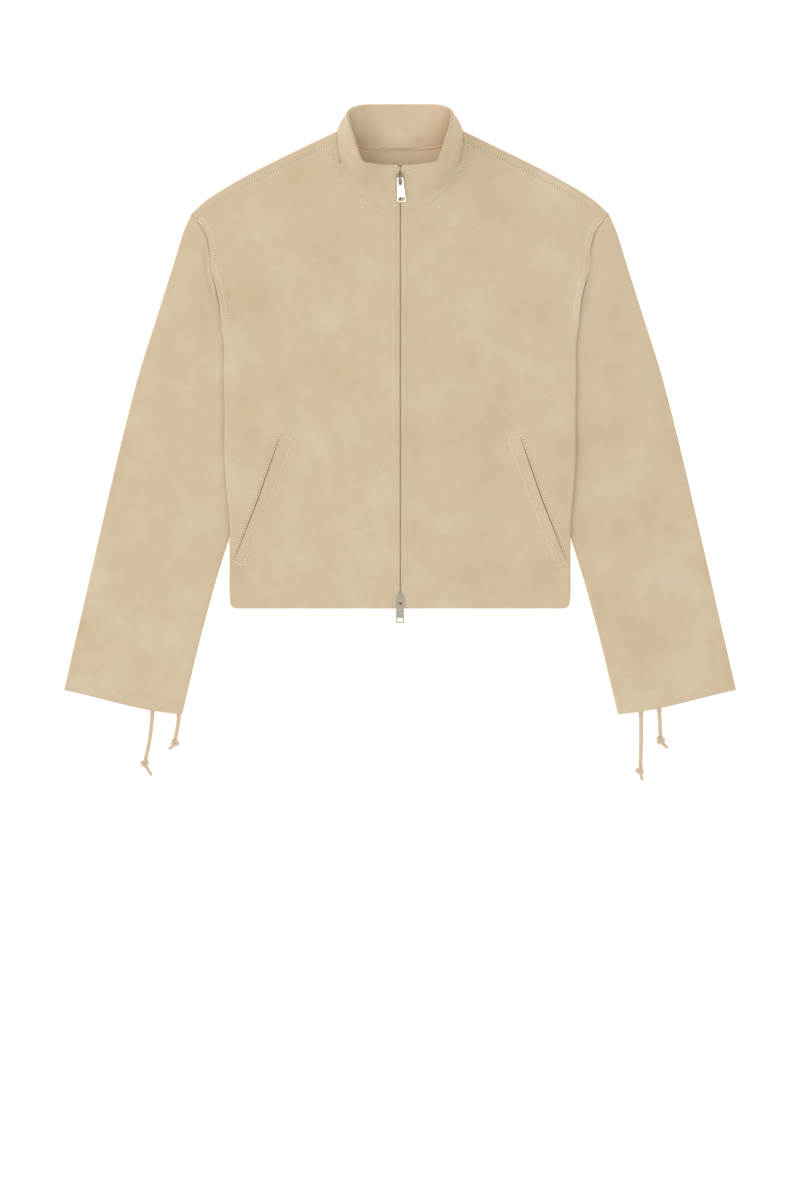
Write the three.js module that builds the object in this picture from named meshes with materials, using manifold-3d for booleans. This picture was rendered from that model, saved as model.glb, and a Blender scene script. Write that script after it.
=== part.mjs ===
// A cropped suede zip jacket, laid flat on a surface with its zip side up.
// Millimetres. +X is to the right, +Y runs from hem to collar, +Z is up, and the
// surface is z = 0. "left" is the -X side. Each cloth piece is a thin closed wall.
import * as THREE from "three";
import { mergeVertices } from "three/addons/utils/BufferGeometryUtils.js";
import Module from "manifold-3d";

const wasm = await Module();
wasm.setup();

// Cloth and seams
const SUEDE = 1.2; // thickness of the suede
const HALF = SUEDE / 2;
const SEAM_GAP = 0.3; // clearance where two pieces meet at a seam
const HOLLOW = 2.0; // empty height between two lying layers
const HIDDEN_HOLLOW = 0.8; // the same where the sleeve is pressed under the body
const UNDER_LIFT = 3.8; // how far the sleeve under it lifts the body
const LIFT_FADE = 30; // width over which that lift fades away
const LIFT_MARGIN = 12; // full lift reaches this far past the sleeve's edge
const NECK_RISE = 2.5; // the fronts rise this much at the neck seam
const NECK_RISE_FADE = 45;
const COVER_SLOPE_ABOVE = 0.65; // the lift's edge runs on at these slopes past the hidden sleeve
const COVER_SLOPE_BELOW = 0.4;
const SIDE_TURN = 2.4; // width of the rounded turn at the side seams
const TURN_END_Y = 96; // that turn opens out into the armhole above here
const TURN_END_FADE = 34;

// Body outline
const HEM_Y = -238.5;
const FRONT_EDGE_X = 1.8; // folded front edges stand this far from the zip's centre
const NECK_CENTRE_Y = 330; // the front neck seam is an arc of an ellipse
const NECK_HALF_WIDTH = 75.5;
const NECK_DEPTH = 80.7;
const NECK_END_ANGLE = (-3.6 * Math.PI) / 180;
const SEAM_SETBACK = 9.2; // the shoulder seam lies this far forward of the fold
const NECK_SIDE_SLOPE = 0.02; // the strip over the shoulder narrows at the neck by this share

// Side seam from the hem corner up to the underarm: X, Y
const SIDE_ROWS = [
  [197.5, HEM_Y],
  [202.2, -235.8],
  [204.0, -229],
  [204.3, -180],
  [204.8, -136],
  [208.4, -95],
  [210.8, -48],
  [210.6, 0],
  [211.6, 40],
  [211.2, 75],
  [213.5, 95],
];

// Armhole seam from the shoulder tip down to the underarm: X, Y
const ARMHOLE_ROWS = [
  [250, 235.5],
  [243, 226.5],
  [234, 213],
  [229, 196],
  [227.2, 171],
  [221, 148],
  [215.4, 121],
  [213.5, 95],
];

// Shoulder fold from the neck to the shoulder tip: X, Y
const SHOULDER_ROWS = [
  [75.5, 334],
  [127.2, 309.3],
  [184.2, 280.5],
  [231, 252.2],
  [250, 235.5],
];

// Back neck seam from the shoulder fold to the centre back: X, Y
const BACK_NECK_ROWS = [
  [75.5, 334],
  [66, 323.5],
  [51, 316.5],
  [22, 312.6],
  [0, 312],
];

// Outer edge of the sleeve from the shoulder tip to the cuff: X, Y
const SLEEVE_OUTER_ROWS = [
  [250, 235.5],
  [259.8, 213.3],
  [271.8, 174.9],
  [289.8, 117.3],
  [313.8, 40.5],
  [333.6, -36.3],
  [360.6, -151.5],
  [402.6, -336.3],
];

// Underarm edge of the sleeve, under the body down to y = -151: X, Y
const SLEEVE_INNER_ROWS = [
  [213.5, 95],
  [196, 76],
  [173, 46],
  [163, 12],
  [166, -30],
  [182, -72],
  [204, -151.5],
  [221.4, -209.1],
  [242.4, -285.9],
  [261.6, -365.7],
];
const SLEEVE_COVER_END = 6; // the first rows of that table lie under the body

// Collar ribs from the zip round to the centre back: base X, Y, Z and top X, Y, Z
const COLLAR_ROWS = [
  [1.8, 250.2, 6.4, 1.8, 291.6, 22],
  [15.6, 252.4, 6.4, 15, 291.8, 22.3],
  [30.8, 257.3, 6.4, 28, 292.1, 27.5],
  [48.6, 268.1, 6.4, 44.2, 292.4, 37],
  [61.6, 284.9, 6.4, 55.4, 306.3, 42],
  [69, 303, 6.4, 60.8, 318, 45],
  [72.9, 317, 6.4, 63.6, 328, 46.5],
  [74.6, 327, 5.8, 64.4, 341, 46],
  [75, 333.6, 3.6, 63, 350.6, 42.5],
  [69.4, 329, 1.3, 60.2, 356.4, 37.5],
  [58.6, 320.9, 0.9, 52.5, 361.5, 28],
  [44.5, 316.4, 0.9, 41.9, 364.4, 18],
  [22, 313.8, 0.9, 22, 365.4, 10.6],
  [0, 313.1, 0.9, 0, 365.8, 8.2],
];
const COLLAR_BULGE = 1.6; // the standing sides bow outwards by this much

const COLLAR_STAND = { fromZ: 24, fade: 16 }; // that bow grows in with the height of the top edge

// Welt corners on the right side: X, Y
const WELT = {
  mouthTop: [146.2, -29.9],
  innerTop: [127.6, -35.1],
  innerBottom: [188.2, -189.3],
  mouthBottom: [201, -182.3],
};
const WELT_THICKNESS = 1.1;

// Facing inside the back neck
const FACING = { halfWidth: 56, drop: 54, sideDrop: 30, below: 1.2 };

// Sleeve: near the armhole only its underarm is drawn in under the body
const UNDERARM_PULL = 4;
const UNDERARM_PULL_FADE = 0.3; // share of the sleeve over which that ends
const CLEAR_OF_BODY = { x: 215, fadeX: 36, y: 100, fadeY: 80 }; // it swells past here
const SLEEVE_TURN = { stretch: 1.1, spare: 0.4 }; // reach of its folded edges

// Cuff
const CUFF_HOLLOW = 3.6;
const CUFF_FADE = 90;
const CORD_LIFT = 1.3; // the cuff stands this much higher over its cords
const CORD_LIFT_FADE = 70;
const OVER_CORDS = { from: 0.45, fade: 0.15 }; // shares across the cuff, outer edge first

// Zip: tape, half chain, sliders and pulls
const TAPE = { width: 11, thickness: 0.8, beadWidth: 1.35, beadUp: 1.2, beadDown: 0.8 };
const TAPE_DEPTH = HALF + SEAM_GAP + TAPE.thickness / 2; // below the middle of the cloth
const TAPE_COLLAR_DROP = 0.6; // the tapes lie this much deeper behind the collar
const TAPE_CLEAR = TAPE_DEPTH + TAPE_COLLAR_DROP + TAPE.thickness / 2 + SEAM_GAP + HALF;
const TAPE_HEM_SETBACK = 2.5;
const TAPE_TOP_SETBACK = 1.5;
const TAPE_BESIDE = 2; // the inner collar comes forward this far past the tapes
const TAPE_BESIDE_FADE = 14;
const ZIP_LEVELS = [-150, -60, 30, 120, 200, 212, 224, 236, 245]; // Y of its sections on the fronts
const ZIP_COLLAR_LEVELS = [5, 20]; // and their distances up the collar
const SLIDER = {
  length: 11.5,
  width: 8,
  tail: 6.2,
  thickness: 1.3,
  archLength: 8,
  archLeg: 1.3,
  archWidth: 2,
  archHeight: 2.4,
  archFoot: 0.4,
  archInnerRadius: 0.7,
  archOuterRadius: 1.6,
  crown: 1.2,
};
const PULL = {
  length: 31,
  topWidth: 7.5,
  endWidth: 10.2,
  thickness: 1.2,
  bar: 1.3,
  slotWidth: 4.3,
  slotLength: 8.5,
  rim: 1.4,
  windowLength: 4.6,
  corner: 1.6,
};
const PULL_REST_TILT = (3 * Math.PI) / 180;
const TOP_SLIDER_ALONG = 29.5; // distance of its pivot up the collar's front edge
const TOP_PULL_YAW = (4 * Math.PI) / 180;
const BOTTOM_PIVOT_Y = -225.4;

// Drawcords
const CORD_DIAMETER = 4.0;
const CORD_SIDES = 8;
const KNOT = { across: 9.6, along: 9.6, high: 8.4, centreZ: 4.3 };
const TAIL_DIAMETER = 3.4;
const TAIL_HEIGHTS = [3.5, 2.4, 1.9]; // of its middle: in the knot, half way and at its end

// Route of each drawcord from between the cuff's layers to its knot: X, Y, Z
const CORDS = {
  cord_left_outer: [
    [-295.2, -350, 3.5], [-295.8, -355.5, 3.5], [-296.5, -361.5, 3.2], [-297.2, -369, 2.5],
    [-297.5, -378, 2.1], [-298.4, -386.5, 2.1], [-299.7, -394.5, 2.1], [-301.5, -403.5, 2.2],
    [-303.2, -410, 2.6], [-304.6, -415.2, 3.2],
  ],
  cord_left_inner: [
    [-267.2, -352, 3.5], [-267.2, -357.5, 3.5], [-266.8, -363.5, 3.45], [-266.4, -369.5, 3],
    [-266.4, -376, 2.3], [-267.2, -384, 2.2], [-268.6, -391.2, 3],
  ],
  cord_right_inner: [
    [289, -347.5, 3.5], [289.2, -353.5, 3.5], [289.4, -360.5, 3.3], [289.5, -368, 2.6],
    [289.6, -378, 2.1], [289.5, -391, 2.1], [289.3, -404, 2.1], [288.9, -415, 2.2],
    [288.5, -422.4, 3],
  ],
  cord_right_outer: [
    [310.6, -343, 3.5], [311, -349.5, 3.5], [311.6, -356.5, 3.3], [312.1, -365.5, 2.5],
    [312.3, -374.5, 2.1], [312.6, -383, 2.4], [312.8, -388, 3],
  ],
};

// Knot centres and the ends of the short tails beyond them: X, Y and X, Y
const KNOTS = {
  knot_left_outer: { centre: [-306.2, -419.8], tail: [[-303.6, -425.6], [-299.4, -434]] },
  knot_left_inner: { centre: [-269.8, -396], tail: [[-272.4, -402], [-277.8, -406.6]] },
  knot_right_inner: { centre: [288, -427.4], tail: [[289.2, -434], [291.6, -441]] },
  knot_right_outer: { centre: [312.8, -393], tail: [[316.4, -398.6], [321.6, -404.4]] },
};

// Mesh counts
const SIDE_ALONG = [
  0, 0.014, 0.04, 0.1207, 0.2373, 0.3495, 0.4567,
  0.5588, 0.655, 0.7447, 0.8269, 0.8999, 0.9607, 1,
];
const HEM_SPLIT_X = 80; // the neck's columns meet the hem inside this X
const HEM_SPREAD = 1.25; // columns outside it crowd towards the side seam
const ARMHOLE_STEPS = 9;
const NECK_STEPS = 7;
const SHOULDER_STEPS = 8;
const TURN_STEPS = 3;
const SLEEVE_ALONG = [
  0, 0.025, 0.055, 0.1, 0.16, 0.23, 0.3, 0.38,
  0.47, 0.57, 0.68, 0.79, 0.88, 0.94, 0.972, 1,
];
const COLLAR_STEPS = 34;
const COLLAR_ROWS_UP = 5;
const FACING_COLUMNS = 12;
const FACING_ROWS_UP = 6;
const WELT_COLUMNS = 2;
const WELT_ROWS_UP = 16;
const CURVE_SAMPLES = 600; // for lengths along the table curves
const LINE_SAMPLES = 60; // for reading one of them point by point
const ARMHOLE_SAMPLES = 80;
const CORD_STEP = 2.2 * CORD_DIAMETER;
const TAIL_STEPS = 4;
const KNOT_SEGMENTS = [12, 8];
const WELD = 1e-4;

const V3 = (x, y, z = 0) => new THREE.Vector3(x, y, z);
const UP = V3(0, 0, 1);
const mirrored = (p) => V3(-p.x, p.y, p.z);
const mix = (a, b, t) => a + (b - a) * t;
const smooth = (t) => {
  const k = Math.min(1, Math.max(0, t));
  return k * k * (3 - 2 * k);
};
const spread = (count, at = (t) => t) =>
  Array.from({ length: count + 1 }, (_, i) => at(i / count));

// A smooth curve through table rows, measured by its length.
function curveOf(rows) {
  const line = new THREE.CatmullRomCurve3(rows.map((r) => V3(...r)), false, "centripetal");
  line.arcLengthDivisions = CURVE_SAMPLES;
  return line;
}

const sideCurve = curveOf(SIDE_ROWS);
const armholeCurve = curveOf(ARMHOLE_ROWS);
const armholeLength = armholeCurve.getLength();
const shoulderCurve = curveOf(SHOULDER_ROWS);
const backNeckCurve = curveOf(BACK_NECK_ROWS);
const sleeveOuterCurve = curveOf(SLEEVE_OUTER_ROWS);
const sleeveInnerCurve = curveOf(SLEEVE_INNER_ROWS);

// The level direction to the right of a curve's travel at u.
function rightOf(curve, u) {
  const t = curve.getTangentAt(u);
  return V3(t.y, -t.x).normalize();
}

// The edge of the sleeve that lies under the body, as X for a given Y.
const coverCurve = curveOf(SLEEVE_INNER_ROWS.slice(0, SLEEVE_COVER_END + 1));
const coverLine = coverCurve.getSpacedPoints(LINE_SAMPLES);
function coverX(y) {
  const top = coverLine[0];
  const end = coverLine[coverLine.length - 1];
  if (y >= top.y) return top.x + (y - top.y) * COVER_SLOPE_ABOVE;
  if (y <= end.y) return end.x + (end.y - y) * COVER_SLOPE_BELOW;
  const next = coverLine.findIndex((p) => p.y <= y);
  const a = coverLine[next - 1];
  const b = coverLine[next];
  return mix(a.x, b.x, (y - a.y) / (b.y - a.y));
}

// How far the sleeve under it lifts the body at a point.
function liftAt(x, y) {
  return UNDER_LIFT * smooth((Math.abs(x) - coverX(y) + LIFT_MARGIN + LIFT_FADE) / LIFT_FADE);
}

// How far the front rises towards the neck seam.
function neckRiseAt(x, y) {
  const reach = Math.hypot(x / NECK_HALF_WIDTH, (y - NECK_CENTRE_Y) / NECK_DEPTH) - 1;
  return NECK_RISE * (1 - smooth((reach * NECK_HALF_WIDTH) / NECK_RISE_FADE));
}

// Heights of the middle of each layer.
const backHeight = (x, y) => HALF + liftAt(x, y);
const frontHeight = (x, y) => HALF + SUEDE + HOLLOW + liftAt(x, y) + neckRiseAt(x, y);

// A sheet of quads whose patches share the points where they touch.
class Sheet {
  constructor() {
    this.points = [];
    this.quads = [];
    this.index = new Map();
    this.square = new Map(); // level or upright directions across seams, by point
  }

  // Keeps the wall's end at a point square to a direction across its seam.
  keepSquare(p, across) {
    this.square.set(this.at(p), across);
    return this;
  }

  // Returns the number of a point, the same for points at one place.
  at(p) {
    const key = [p.x, p.y, p.z].map((v) => v.toFixed(3)).join(" ");
    if (!this.index.has(key)) {
      this.index.set(key, this.points.length);
      this.points.push(p.clone());
    }
    return this.index.get(key);
  }

  // Adds rows of points as quads. A closed patch joins each row's ends.
  addRows(rows, closed = false) {
    const ids = rows.map((row) => row.map((p) => this.at(p)));
    const last = ids[0].length - (closed ? 0 : 1);
    for (let j = 0; j + 1 < ids.length; j++) {
      for (let i = 0; i < last; i++) {
        const k = (i + 1) % ids[0].length;
        this.quads.push([ids[j][i], ids[j][k], ids[j + 1][k], ids[j + 1][i]]);
      }
    }
    return this;
  }
}

// Point normals of a sheet, square to the seams that it was told to keep.
function normalsOf(sheet) {
  const normals = sheet.points.map(() => V3(0, 0, 0));
  for (const [a, b, c, d] of sheet.quads) {
    const p = sheet.points;
    const across = p[c].clone().sub(p[a]);
    const other = p[d].clone().sub(p[b]);
    const n = across.cross(other);
    [a, b, c, d].forEach((i) => normals[i].add(n));
  }
  normals.forEach((n, i) => {
    const across = sheet.square.get(i);
    if (across) n.addScaledVector(across, -n.dot(across));
    n.normalize();
  });
  return normals;
}

// A closed wall: the sheet moved out and in by half the thickness, with rims.
function wall(sheet, thickness) {
  const normals = normalsOf(sheet);
  const count = sheet.points.length;
  const xyz = [];
  for (const side of [1, -1]) {
    sheet.points.forEach((p, i) => {
      const q = p.clone().addScaledVector(normals[i], (side * thickness) / 2);
      xyz.push(q.x, q.y, q.z);
    });
  }
  const edges = new Map();
  const faces = [];
  for (const quad of sheet.quads) {
    const [a, b, c, d] = quad;
    faces.push(a, b, c, a, c, d);
    faces.push(count + a, count + c, count + b, count + a, count + d, count + c);
    quad.forEach((from, i) => edges.set(`${from} ${quad[(i + 1) % 4]}`, [from, quad[(i + 1) % 4]]));
  }
  for (const [from, to] of edges.values()) {
    if (edges.has(`${to} ${from}`)) continue;
    faces.push(from, count + from, count + to, from, count + to, to);
  }
  const geometry = new THREE.BufferGeometry();
  geometry.setAttribute("position", new THREE.Float32BufferAttribute(xyz, 3));
  geometry.setIndex(faces);
  return geometry;
}

// The height of the upper skin of a wall over a point, read from its own triangles.
function skinOf(sheet, thickness) {
  const normals = normalsOf(sheet);
  const skin = sheet.points.map((p, i) => p.clone().addScaledVector(normals[i], thickness / 2));
  const faces = sheet.quads.flatMap(([a, b, c, d]) => [[a, b, c], [a, c, d]]);
  return (x, y) => {
    for (const face of faces) {
      const [a, b, c] = face.map((i) => skin[i]);
      const area = (b.x - a.x) * (c.y - a.y) - (c.x - a.x) * (b.y - a.y);
      const wb = ((x - a.x) * (c.y - a.y) - (c.x - a.x) * (y - a.y)) / area;
      const wc = ((b.x - a.x) * (y - a.y) - (x - a.x) * (b.y - a.y)) / area;
      if (wb >= 0 && wc >= 0 && wb + wc <= 1) return a.z * (1 - wb - wc) + b.z * wb + c.z * wc;
    }
    throw new Error(`no skin at ${x} ${y}`);
  };
}

// Fills a grid between four edges of matching lengths (a Coons patch, seen from above).
function fill(bottom, top, left, right) {
  const rows = left.length;
  const columns = bottom.length;
  const u = bottom.map((p) => (p.x - bottom[0].x) / (bottom[columns - 1].x - bottom[0].x));
  const v = left.map((p) => (p.y - left[0].y) / (left[rows - 1].y - left[0].y));
  return left.map((_, j) =>
    bottom.map((__, i) => {
      const p = V3(0, 0, 0);
      p.addScaledVector(bottom[i], 1 - v[j]).addScaledVector(top[i], v[j]);
      p.addScaledVector(left[j], 1 - u[i]).addScaledVector(right[j], u[i]);
      p.addScaledVector(bottom[0], -(1 - u[i]) * (1 - v[j]));
      p.addScaledVector(bottom[columns - 1], -u[i] * (1 - v[j]));
      p.addScaledVector(top[0], -(1 - u[i]) * v[j]);
      p.addScaledVector(top[columns - 1], -u[i] * v[j]);
      return p;
    }),
  );
}

// Lengths down the armhole at which every piece that meets it has a point.
const foldInset = (HOLLOW + SUEDE) / 2 + HALF;
const armholeStops = [foldInset, ...spread(ARMHOLE_STEPS, (t) => mix(SEAM_SETBACK, armholeLength, t))];

// A point of the armhole seam, moved out from the body by `out`.
function armholePoint(length, out) {
  const u = Math.min(1, length / armholeLength);
  return armholeCurve.getPointAt(u).addScaledVector(rightOf(armholeCurve, u), -out);
}

// The level direction across the armhole near a point of the right side.
const armholeLine = armholeCurve.getSpacedPoints(ARMHOLE_SAMPLES);
function armholeAcross(point) {
  const away = (p) => Math.hypot(p.x - point.x, p.y - point.y);
  const near = armholeLine.reduce((best, p, i) => (away(p) < away(armholeLine[best]) ? i : best), 0);
  return rightOf(armholeCurve, near / ARMHOLE_SAMPLES);
}

// The neck edge of the shoulder strip, `inset` back from the fold.
function neckSide(inset) {
  const x = NECK_HALF_WIDTH - NECK_SIDE_SLOPE * inset + 2 * SEAM_GAP;
  return V3(x, SHOULDER_ROWS[0][1] - inset);
}

// A point of the shoulder, w from neck to tip and `inset` down from the fold.
function shoulderPoint(w, inset) {
  const at = (u) => shoulderCurve.getPointAt(u).addScaledVector(rightOf(shoulderCurve, u), inset);
  const p = at(w);
  p.addScaledVector(neckSide(inset).sub(at(0)), 1 - w);
  p.addScaledVector(armholePoint(inset, -SEAM_GAP / 2).sub(at(1)), w);
  return p;
}

// Rows of the side: hem to underarm along the side seam, then up the armhole.
function sideRows(stops) {
  const side = SIDE_ALONG.map((u) => ({
    p: sideCurve.getPointAt(u).addScaledVector(rightOf(sideCurve, u), -HALF),
    out: rightOf(sideCurve, u),
    turn: 1,
  }));
  side.pop();
  const down = stops.map((length) => {
    const u = Math.min(1, length / armholeLength);
    const p = armholePoint(length, -SEAM_GAP / 2);
    const turn = 1 - smooth((p.y - TURN_END_Y) / TURN_END_FADE);
    return { p, out: rightOf(armholeCurve, u).negate(), turn };
  });
  return side.concat(down.reverse());
}

// One half of a body panel with the turned columns of its side seam. Returns the rows
// and, for the last point of each, the direction across the seam there.
function panelRows(centre, neck, shoulder, stops, heightAt, turnSign) {
  const rows = sideRows(stops);
  const right = rows.map((r) => r.p.clone().addScaledVector(r.out, -SIDE_TURN));
  const top = neck.concat(shoulder);
  const corner = right[right.length - 1];
  top[top.length - 1] = corner;
  const hemX = top.map((_, i) => {
    const last = top.length - 1;
    return i <= NECK_STEPS
      ? mix(centre.x, HEM_SPLIT_X, i / NECK_STEPS)
      : mix(HEM_SPLIT_X, right[0].x, 1 - (1 - (i - NECK_STEPS) / (last - NECK_STEPS)) ** HEM_SPREAD);
  });
  const bottom = hemX.map((x) => V3(x, HEM_Y));
  const topY = top[0].y;
  const left = rows.map((r, j) => {
    const share = (r.p.y - rows[0].p.y) / (corner.y - rows[0].p.y);
    return V3(mix(centre.x, top[0].x, share), j === 0 ? HEM_Y : mix(HEM_Y, topY, share));
  });
  right[0].y = HEM_Y;
  const grid = fill(bottom, top, left, right);
  const halfGap = (HOLLOW + SUEDE - SEAM_GAP) / 2;
  const seams = rows.map(({ out, turn }) => out.clone().lerp(UP, turn).normalize());
  const points = grid.map((row, j) => {
    const { p, out, turn } = rows[j];
    const flat = row.map((q) => V3(q.x, q.y, heightAt(q.x, q.y)));
    const base = flat[flat.length - 1].z;
    const turned = spread(TURN_STEPS).slice(1).map((t) => {
      const angle = (t * Math.PI) / 2;
      const q = p.clone().addScaledVector(out, -SIDE_TURN * (1 - Math.sin(angle)));
      q.z = base + turnSign * halfGap * turn * (1 - Math.cos(angle));
      return q;
    });
    return flat.concat(turned);
  });
  return { points, seams };
}

// Samples of the neck seam on the front, moved down onto the panel by `out`.
function frontNeck(out) {
  return spread(NECK_STEPS).map((t) => {
    const start = -Math.acos(FRONT_EDGE_X / NECK_HALF_WIDTH);
    const angle = mix(start, NECK_END_ANGLE, t);
    const x = (NECK_HALF_WIDTH + out) * Math.cos(angle);
    return V3(t === 0 ? FRONT_EDGE_X : x, NECK_CENTRE_Y + (NECK_DEPTH + out) * Math.sin(angle));
  });
}

function frontPanel() {
  const inset = SEAM_SETBACK + SEAM_GAP / 2;
  const shoulder = spread(SHOULDER_STEPS).slice(1).map((w) => shoulderPoint(w, inset));
  const neck = frontNeck(SEAM_GAP / 2);
  neck[NECK_STEPS] = shoulderPoint(0, inset);
  const stops = armholeStops.slice(1).map((s, i) => (i === 0 ? inset : s));
  const { points, seams } = panelRows(V3(FRONT_EDGE_X, 0), neck, shoulder, stops, frontHeight, -1);
  const sheet = new Sheet().addRows(points);
  points.forEach((row, j) => sheet.keepSquare(row[row.length - 1], seams[j]));
  return sheet;
}

function backPanel() {
  const neckEdge = spread(NECK_STEPS).map((t) =>
    backNeckCurve.getPointAt(1 - t).addScaledVector(rightOf(backNeckCurve, 1 - t), -SEAM_GAP / 2),
  );
  neckEdge[0].x = 0;
  neckEdge[NECK_STEPS] = shoulderPoint(0, foldInset);
  const shoulder = spread(SHOULDER_STEPS).slice(1).map((w) => shoulderPoint(w, foldInset));
  const { points: half, seams } = panelRows(V3(0, 0), neckEdge, shoulder, armholeStops, backHeight, 1);
  const rows = half.map((row) => row.slice(1).reverse().map(mirrored).concat(row));
  const sheet = new Sheet().addRows(rows);
  const lastRow = half[half.length - 1].slice(NECK_STEPS);
  const edge = lastRow.slice(0, SHOULDER_STEPS + 1);
  const fold = [edge];
  const radius = foldInset - HALF;
  for (const t of spread(TURN_STEPS + 1).slice(1)) {
    fold.push(
      spread(SHOULDER_STEPS).map((w, i) => {
        const inset = foldInset - radius * Math.sin(t * Math.PI);
        const q = shoulderPoint(w, inset);
        const top = frontHeight(edge[i].x, edge[i].y);
        q.z = mix(edge[i].z, top, (1 - Math.cos(t * Math.PI)) / 2);
        return q;
      }),
    );
  }
  for (const inset of [(foldInset + SEAM_SETBACK) / 2, SEAM_SETBACK - SEAM_GAP / 2]) {
    fold.push(
      spread(SHOULDER_STEPS).map((w) => {
        const q = shoulderPoint(w, inset);
        q.z = frontHeight(q.x, q.y);
        return q;
      }),
    );
  }
  sheet.addRows(fold);
  sheet.addRows(fold.map((row) => row.map(mirrored).reverse()));
  const ends = half.map((row, j) => [row[row.length - 1], seams[j]]);
  ends.push(...fold.map((row) => [row[SHOULDER_STEPS], armholeAcross(row[SHOULDER_STEPS])]));
  for (const [p, across] of ends) {
    sheet.keepSquare(p, across).keepSquare(mirrored(p), mirrored(across));
  }
  return sheet;
}

// Empty height inside the sleeve at a point, `fromCuff` away from the cuff.
function sleeveHollow(x, y, t, fromCuff) {
  const beside = (x - CLEAR_OF_BODY.x) / CLEAR_OF_BODY.fadeX;
  const above = (y - CLEAR_OF_BODY.y) / CLEAR_OF_BODY.fadeY;
  const open = mix(HIDDEN_HOLLOW, HOLLOW, smooth(Math.max(beside, above)));
  const overCords = smooth((t - OVER_CORDS.from) / OVER_CORDS.fade);
  return (
    open +
    (CUFF_HOLLOW - HOLLOW) * smooth(1 - fromCuff / CUFF_FADE) +
    CORD_LIFT * overCords * smooth(1 - fromCuff / CORD_LIFT_FADE)
  );
}

// The sleeve: closed rings from the armhole to the cuff.
function sleeve() {
  const length = sleeveOuterCurve.getLength();
  const inset = foldInset;
  const stops = armholeStops.slice(0, -1).concat(armholeLength - inset);
  const across = stops.map((stop) => (stop - inset) / (armholeLength - 2 * inset));
  const last = across.length - 1;
  const edgeIn = (curve, s, sign) => curve.getPointAt(s).addScaledVector(rightOf(curve, s), sign * inset);
  const outer = SLEEVE_ALONG.map((s) => edgeIn(sleeveOuterCurve, s, 1));
  const inner = SLEEVE_ALONG.map((s) => edgeIn(sleeveInnerCurve, s, -1));
  const seam = stops.map((stop) => armholePoint(stop, SEAM_GAP / 2));
  outer[0] = seam[0];
  inner[0] = seam[last];
  const cuffOuter = outer[outer.length - 1];
  const cuffInner = inner[inner.length - 1];
  const rings = SLEEVE_ALONG.map((s, j) => {
    const pull = mix(UNDERARM_PULL, 1, smooth(s / UNDERARM_PULL_FADE));
    const flat = across.map((t, i) => {
      const share = t ** pull;
      const cuff = cuffOuter.clone().lerp(cuffInner, t);
      const p = V3(0, 0, 0);
      p.addScaledVector(seam[i], 1 - s).addScaledVector(cuff, s);
      p.addScaledVector(outer[j], 1 - share).addScaledVector(inner[j], share);
      p.addScaledVector(seam[0], -(1 - s) * (1 - share)).addScaledVector(seam[last], -(1 - s) * share);
      return p.addScaledVector(cuffOuter, -s * (1 - share)).addScaledVector(cuffInner, -s * share);
    });
    const hollow = flat.map((p, i) => sleeveHollow(p.x, p.y, across[i], (1 - s) * length));
    const topZ = (i) => HALF + SUEDE + hollow[i];
    const top = flat.map((p, i) => V3(p.x, p.y, topZ(i)));
    const bottom = flat.map((p) => V3(p.x, p.y, HALF));
    const turn = (end, before) => {
      const dir = flat[end].clone().sub(flat[before]).normalize();
      const radius = (SUEDE + hollow[end]) / 2;
      const reach = Math.min(radius * SLEEVE_TURN.stretch, inset - HALF + SLEEVE_TURN.spare);
      return spread(TURN_STEPS + 1).slice(1, -1).map((t) => {
        const angle = t * Math.PI;
        const q = flat[end].clone().addScaledVector(dir, reach * Math.sin(angle));
        q.z = HALF + radius * (1 + Math.cos(angle));
        return q;
      });
    };
    const innerTurn = turn(last, last - 1);
    const outerTurn = turn(0, 1).reverse();
    return [...top, ...innerTurn, ...bottom.reverse(), ...outerTurn];
  });
  const sheet = new Sheet().addRows(rings, true);
  rings[0].forEach((p) => sheet.keepSquare(p, armholeAcross(p)));
  return sheet;
}

// Ribs of the collar's right half, base to top, with their outward bulge.
function collarHalf() {
  const base = curveOf(COLLAR_ROWS.map((r) => r.slice(0, 3)));
  const top = curveOf(COLLAR_ROWS.map((r) => r.slice(3)));
  return spread(COLLAR_STEPS / 2).map((share) => {
    const from = base.getPoint(share);
    const to = top.getPoint(share);
    const stand = smooth((to.z - COLLAR_STAND.fromZ) / COLLAR_STAND.fade);
    const away = V3(to.x, to.y - NECK_CENTRE_Y).normalize();
    return spread(COLLAR_ROWS_UP).map((v) => {
      const p = from.clone().lerp(to, v);
      p.addScaledVector(away, COLLAR_BULGE * stand * Math.sin(Math.PI * v));
      return share === 0 ? V3(COLLAR_ROWS[0][0], p.y, p.z) : p;
    });
  });
}

function collarSheet(depthAt) {
  const right = collarHalf();
  const ribs = right.slice(0, -1).map((rib) => rib.map(mirrored)).concat(right.slice().reverse());
  const rows = spread(COLLAR_ROWS_UP).map((_, j) => ribs.map((rib) => rib[j]));
  const sheet = new Sheet().addRows(rows);
  if (!depthAt) return sheet;
  const normals = normalsOf(sheet);
  sheet.points.forEach((p, i) => p.addScaledVector(normals[i], depthAt(p)));
  return sheet;
}

// The inner collar lies inside the outer one, deeper beside the zip tapes.
function innerDepth(p) {
  const plain = SUEDE + SEAM_GAP;
  if (p.y >= NECK_CENTRE_Y) return plain;
  const past = Math.abs(p.x) - TAPE.width - TAPE_BESIDE;
  return mix(plain, TAPE_CLEAR, 1 - smooth(past / TAPE_BESIDE_FADE));
}

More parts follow.
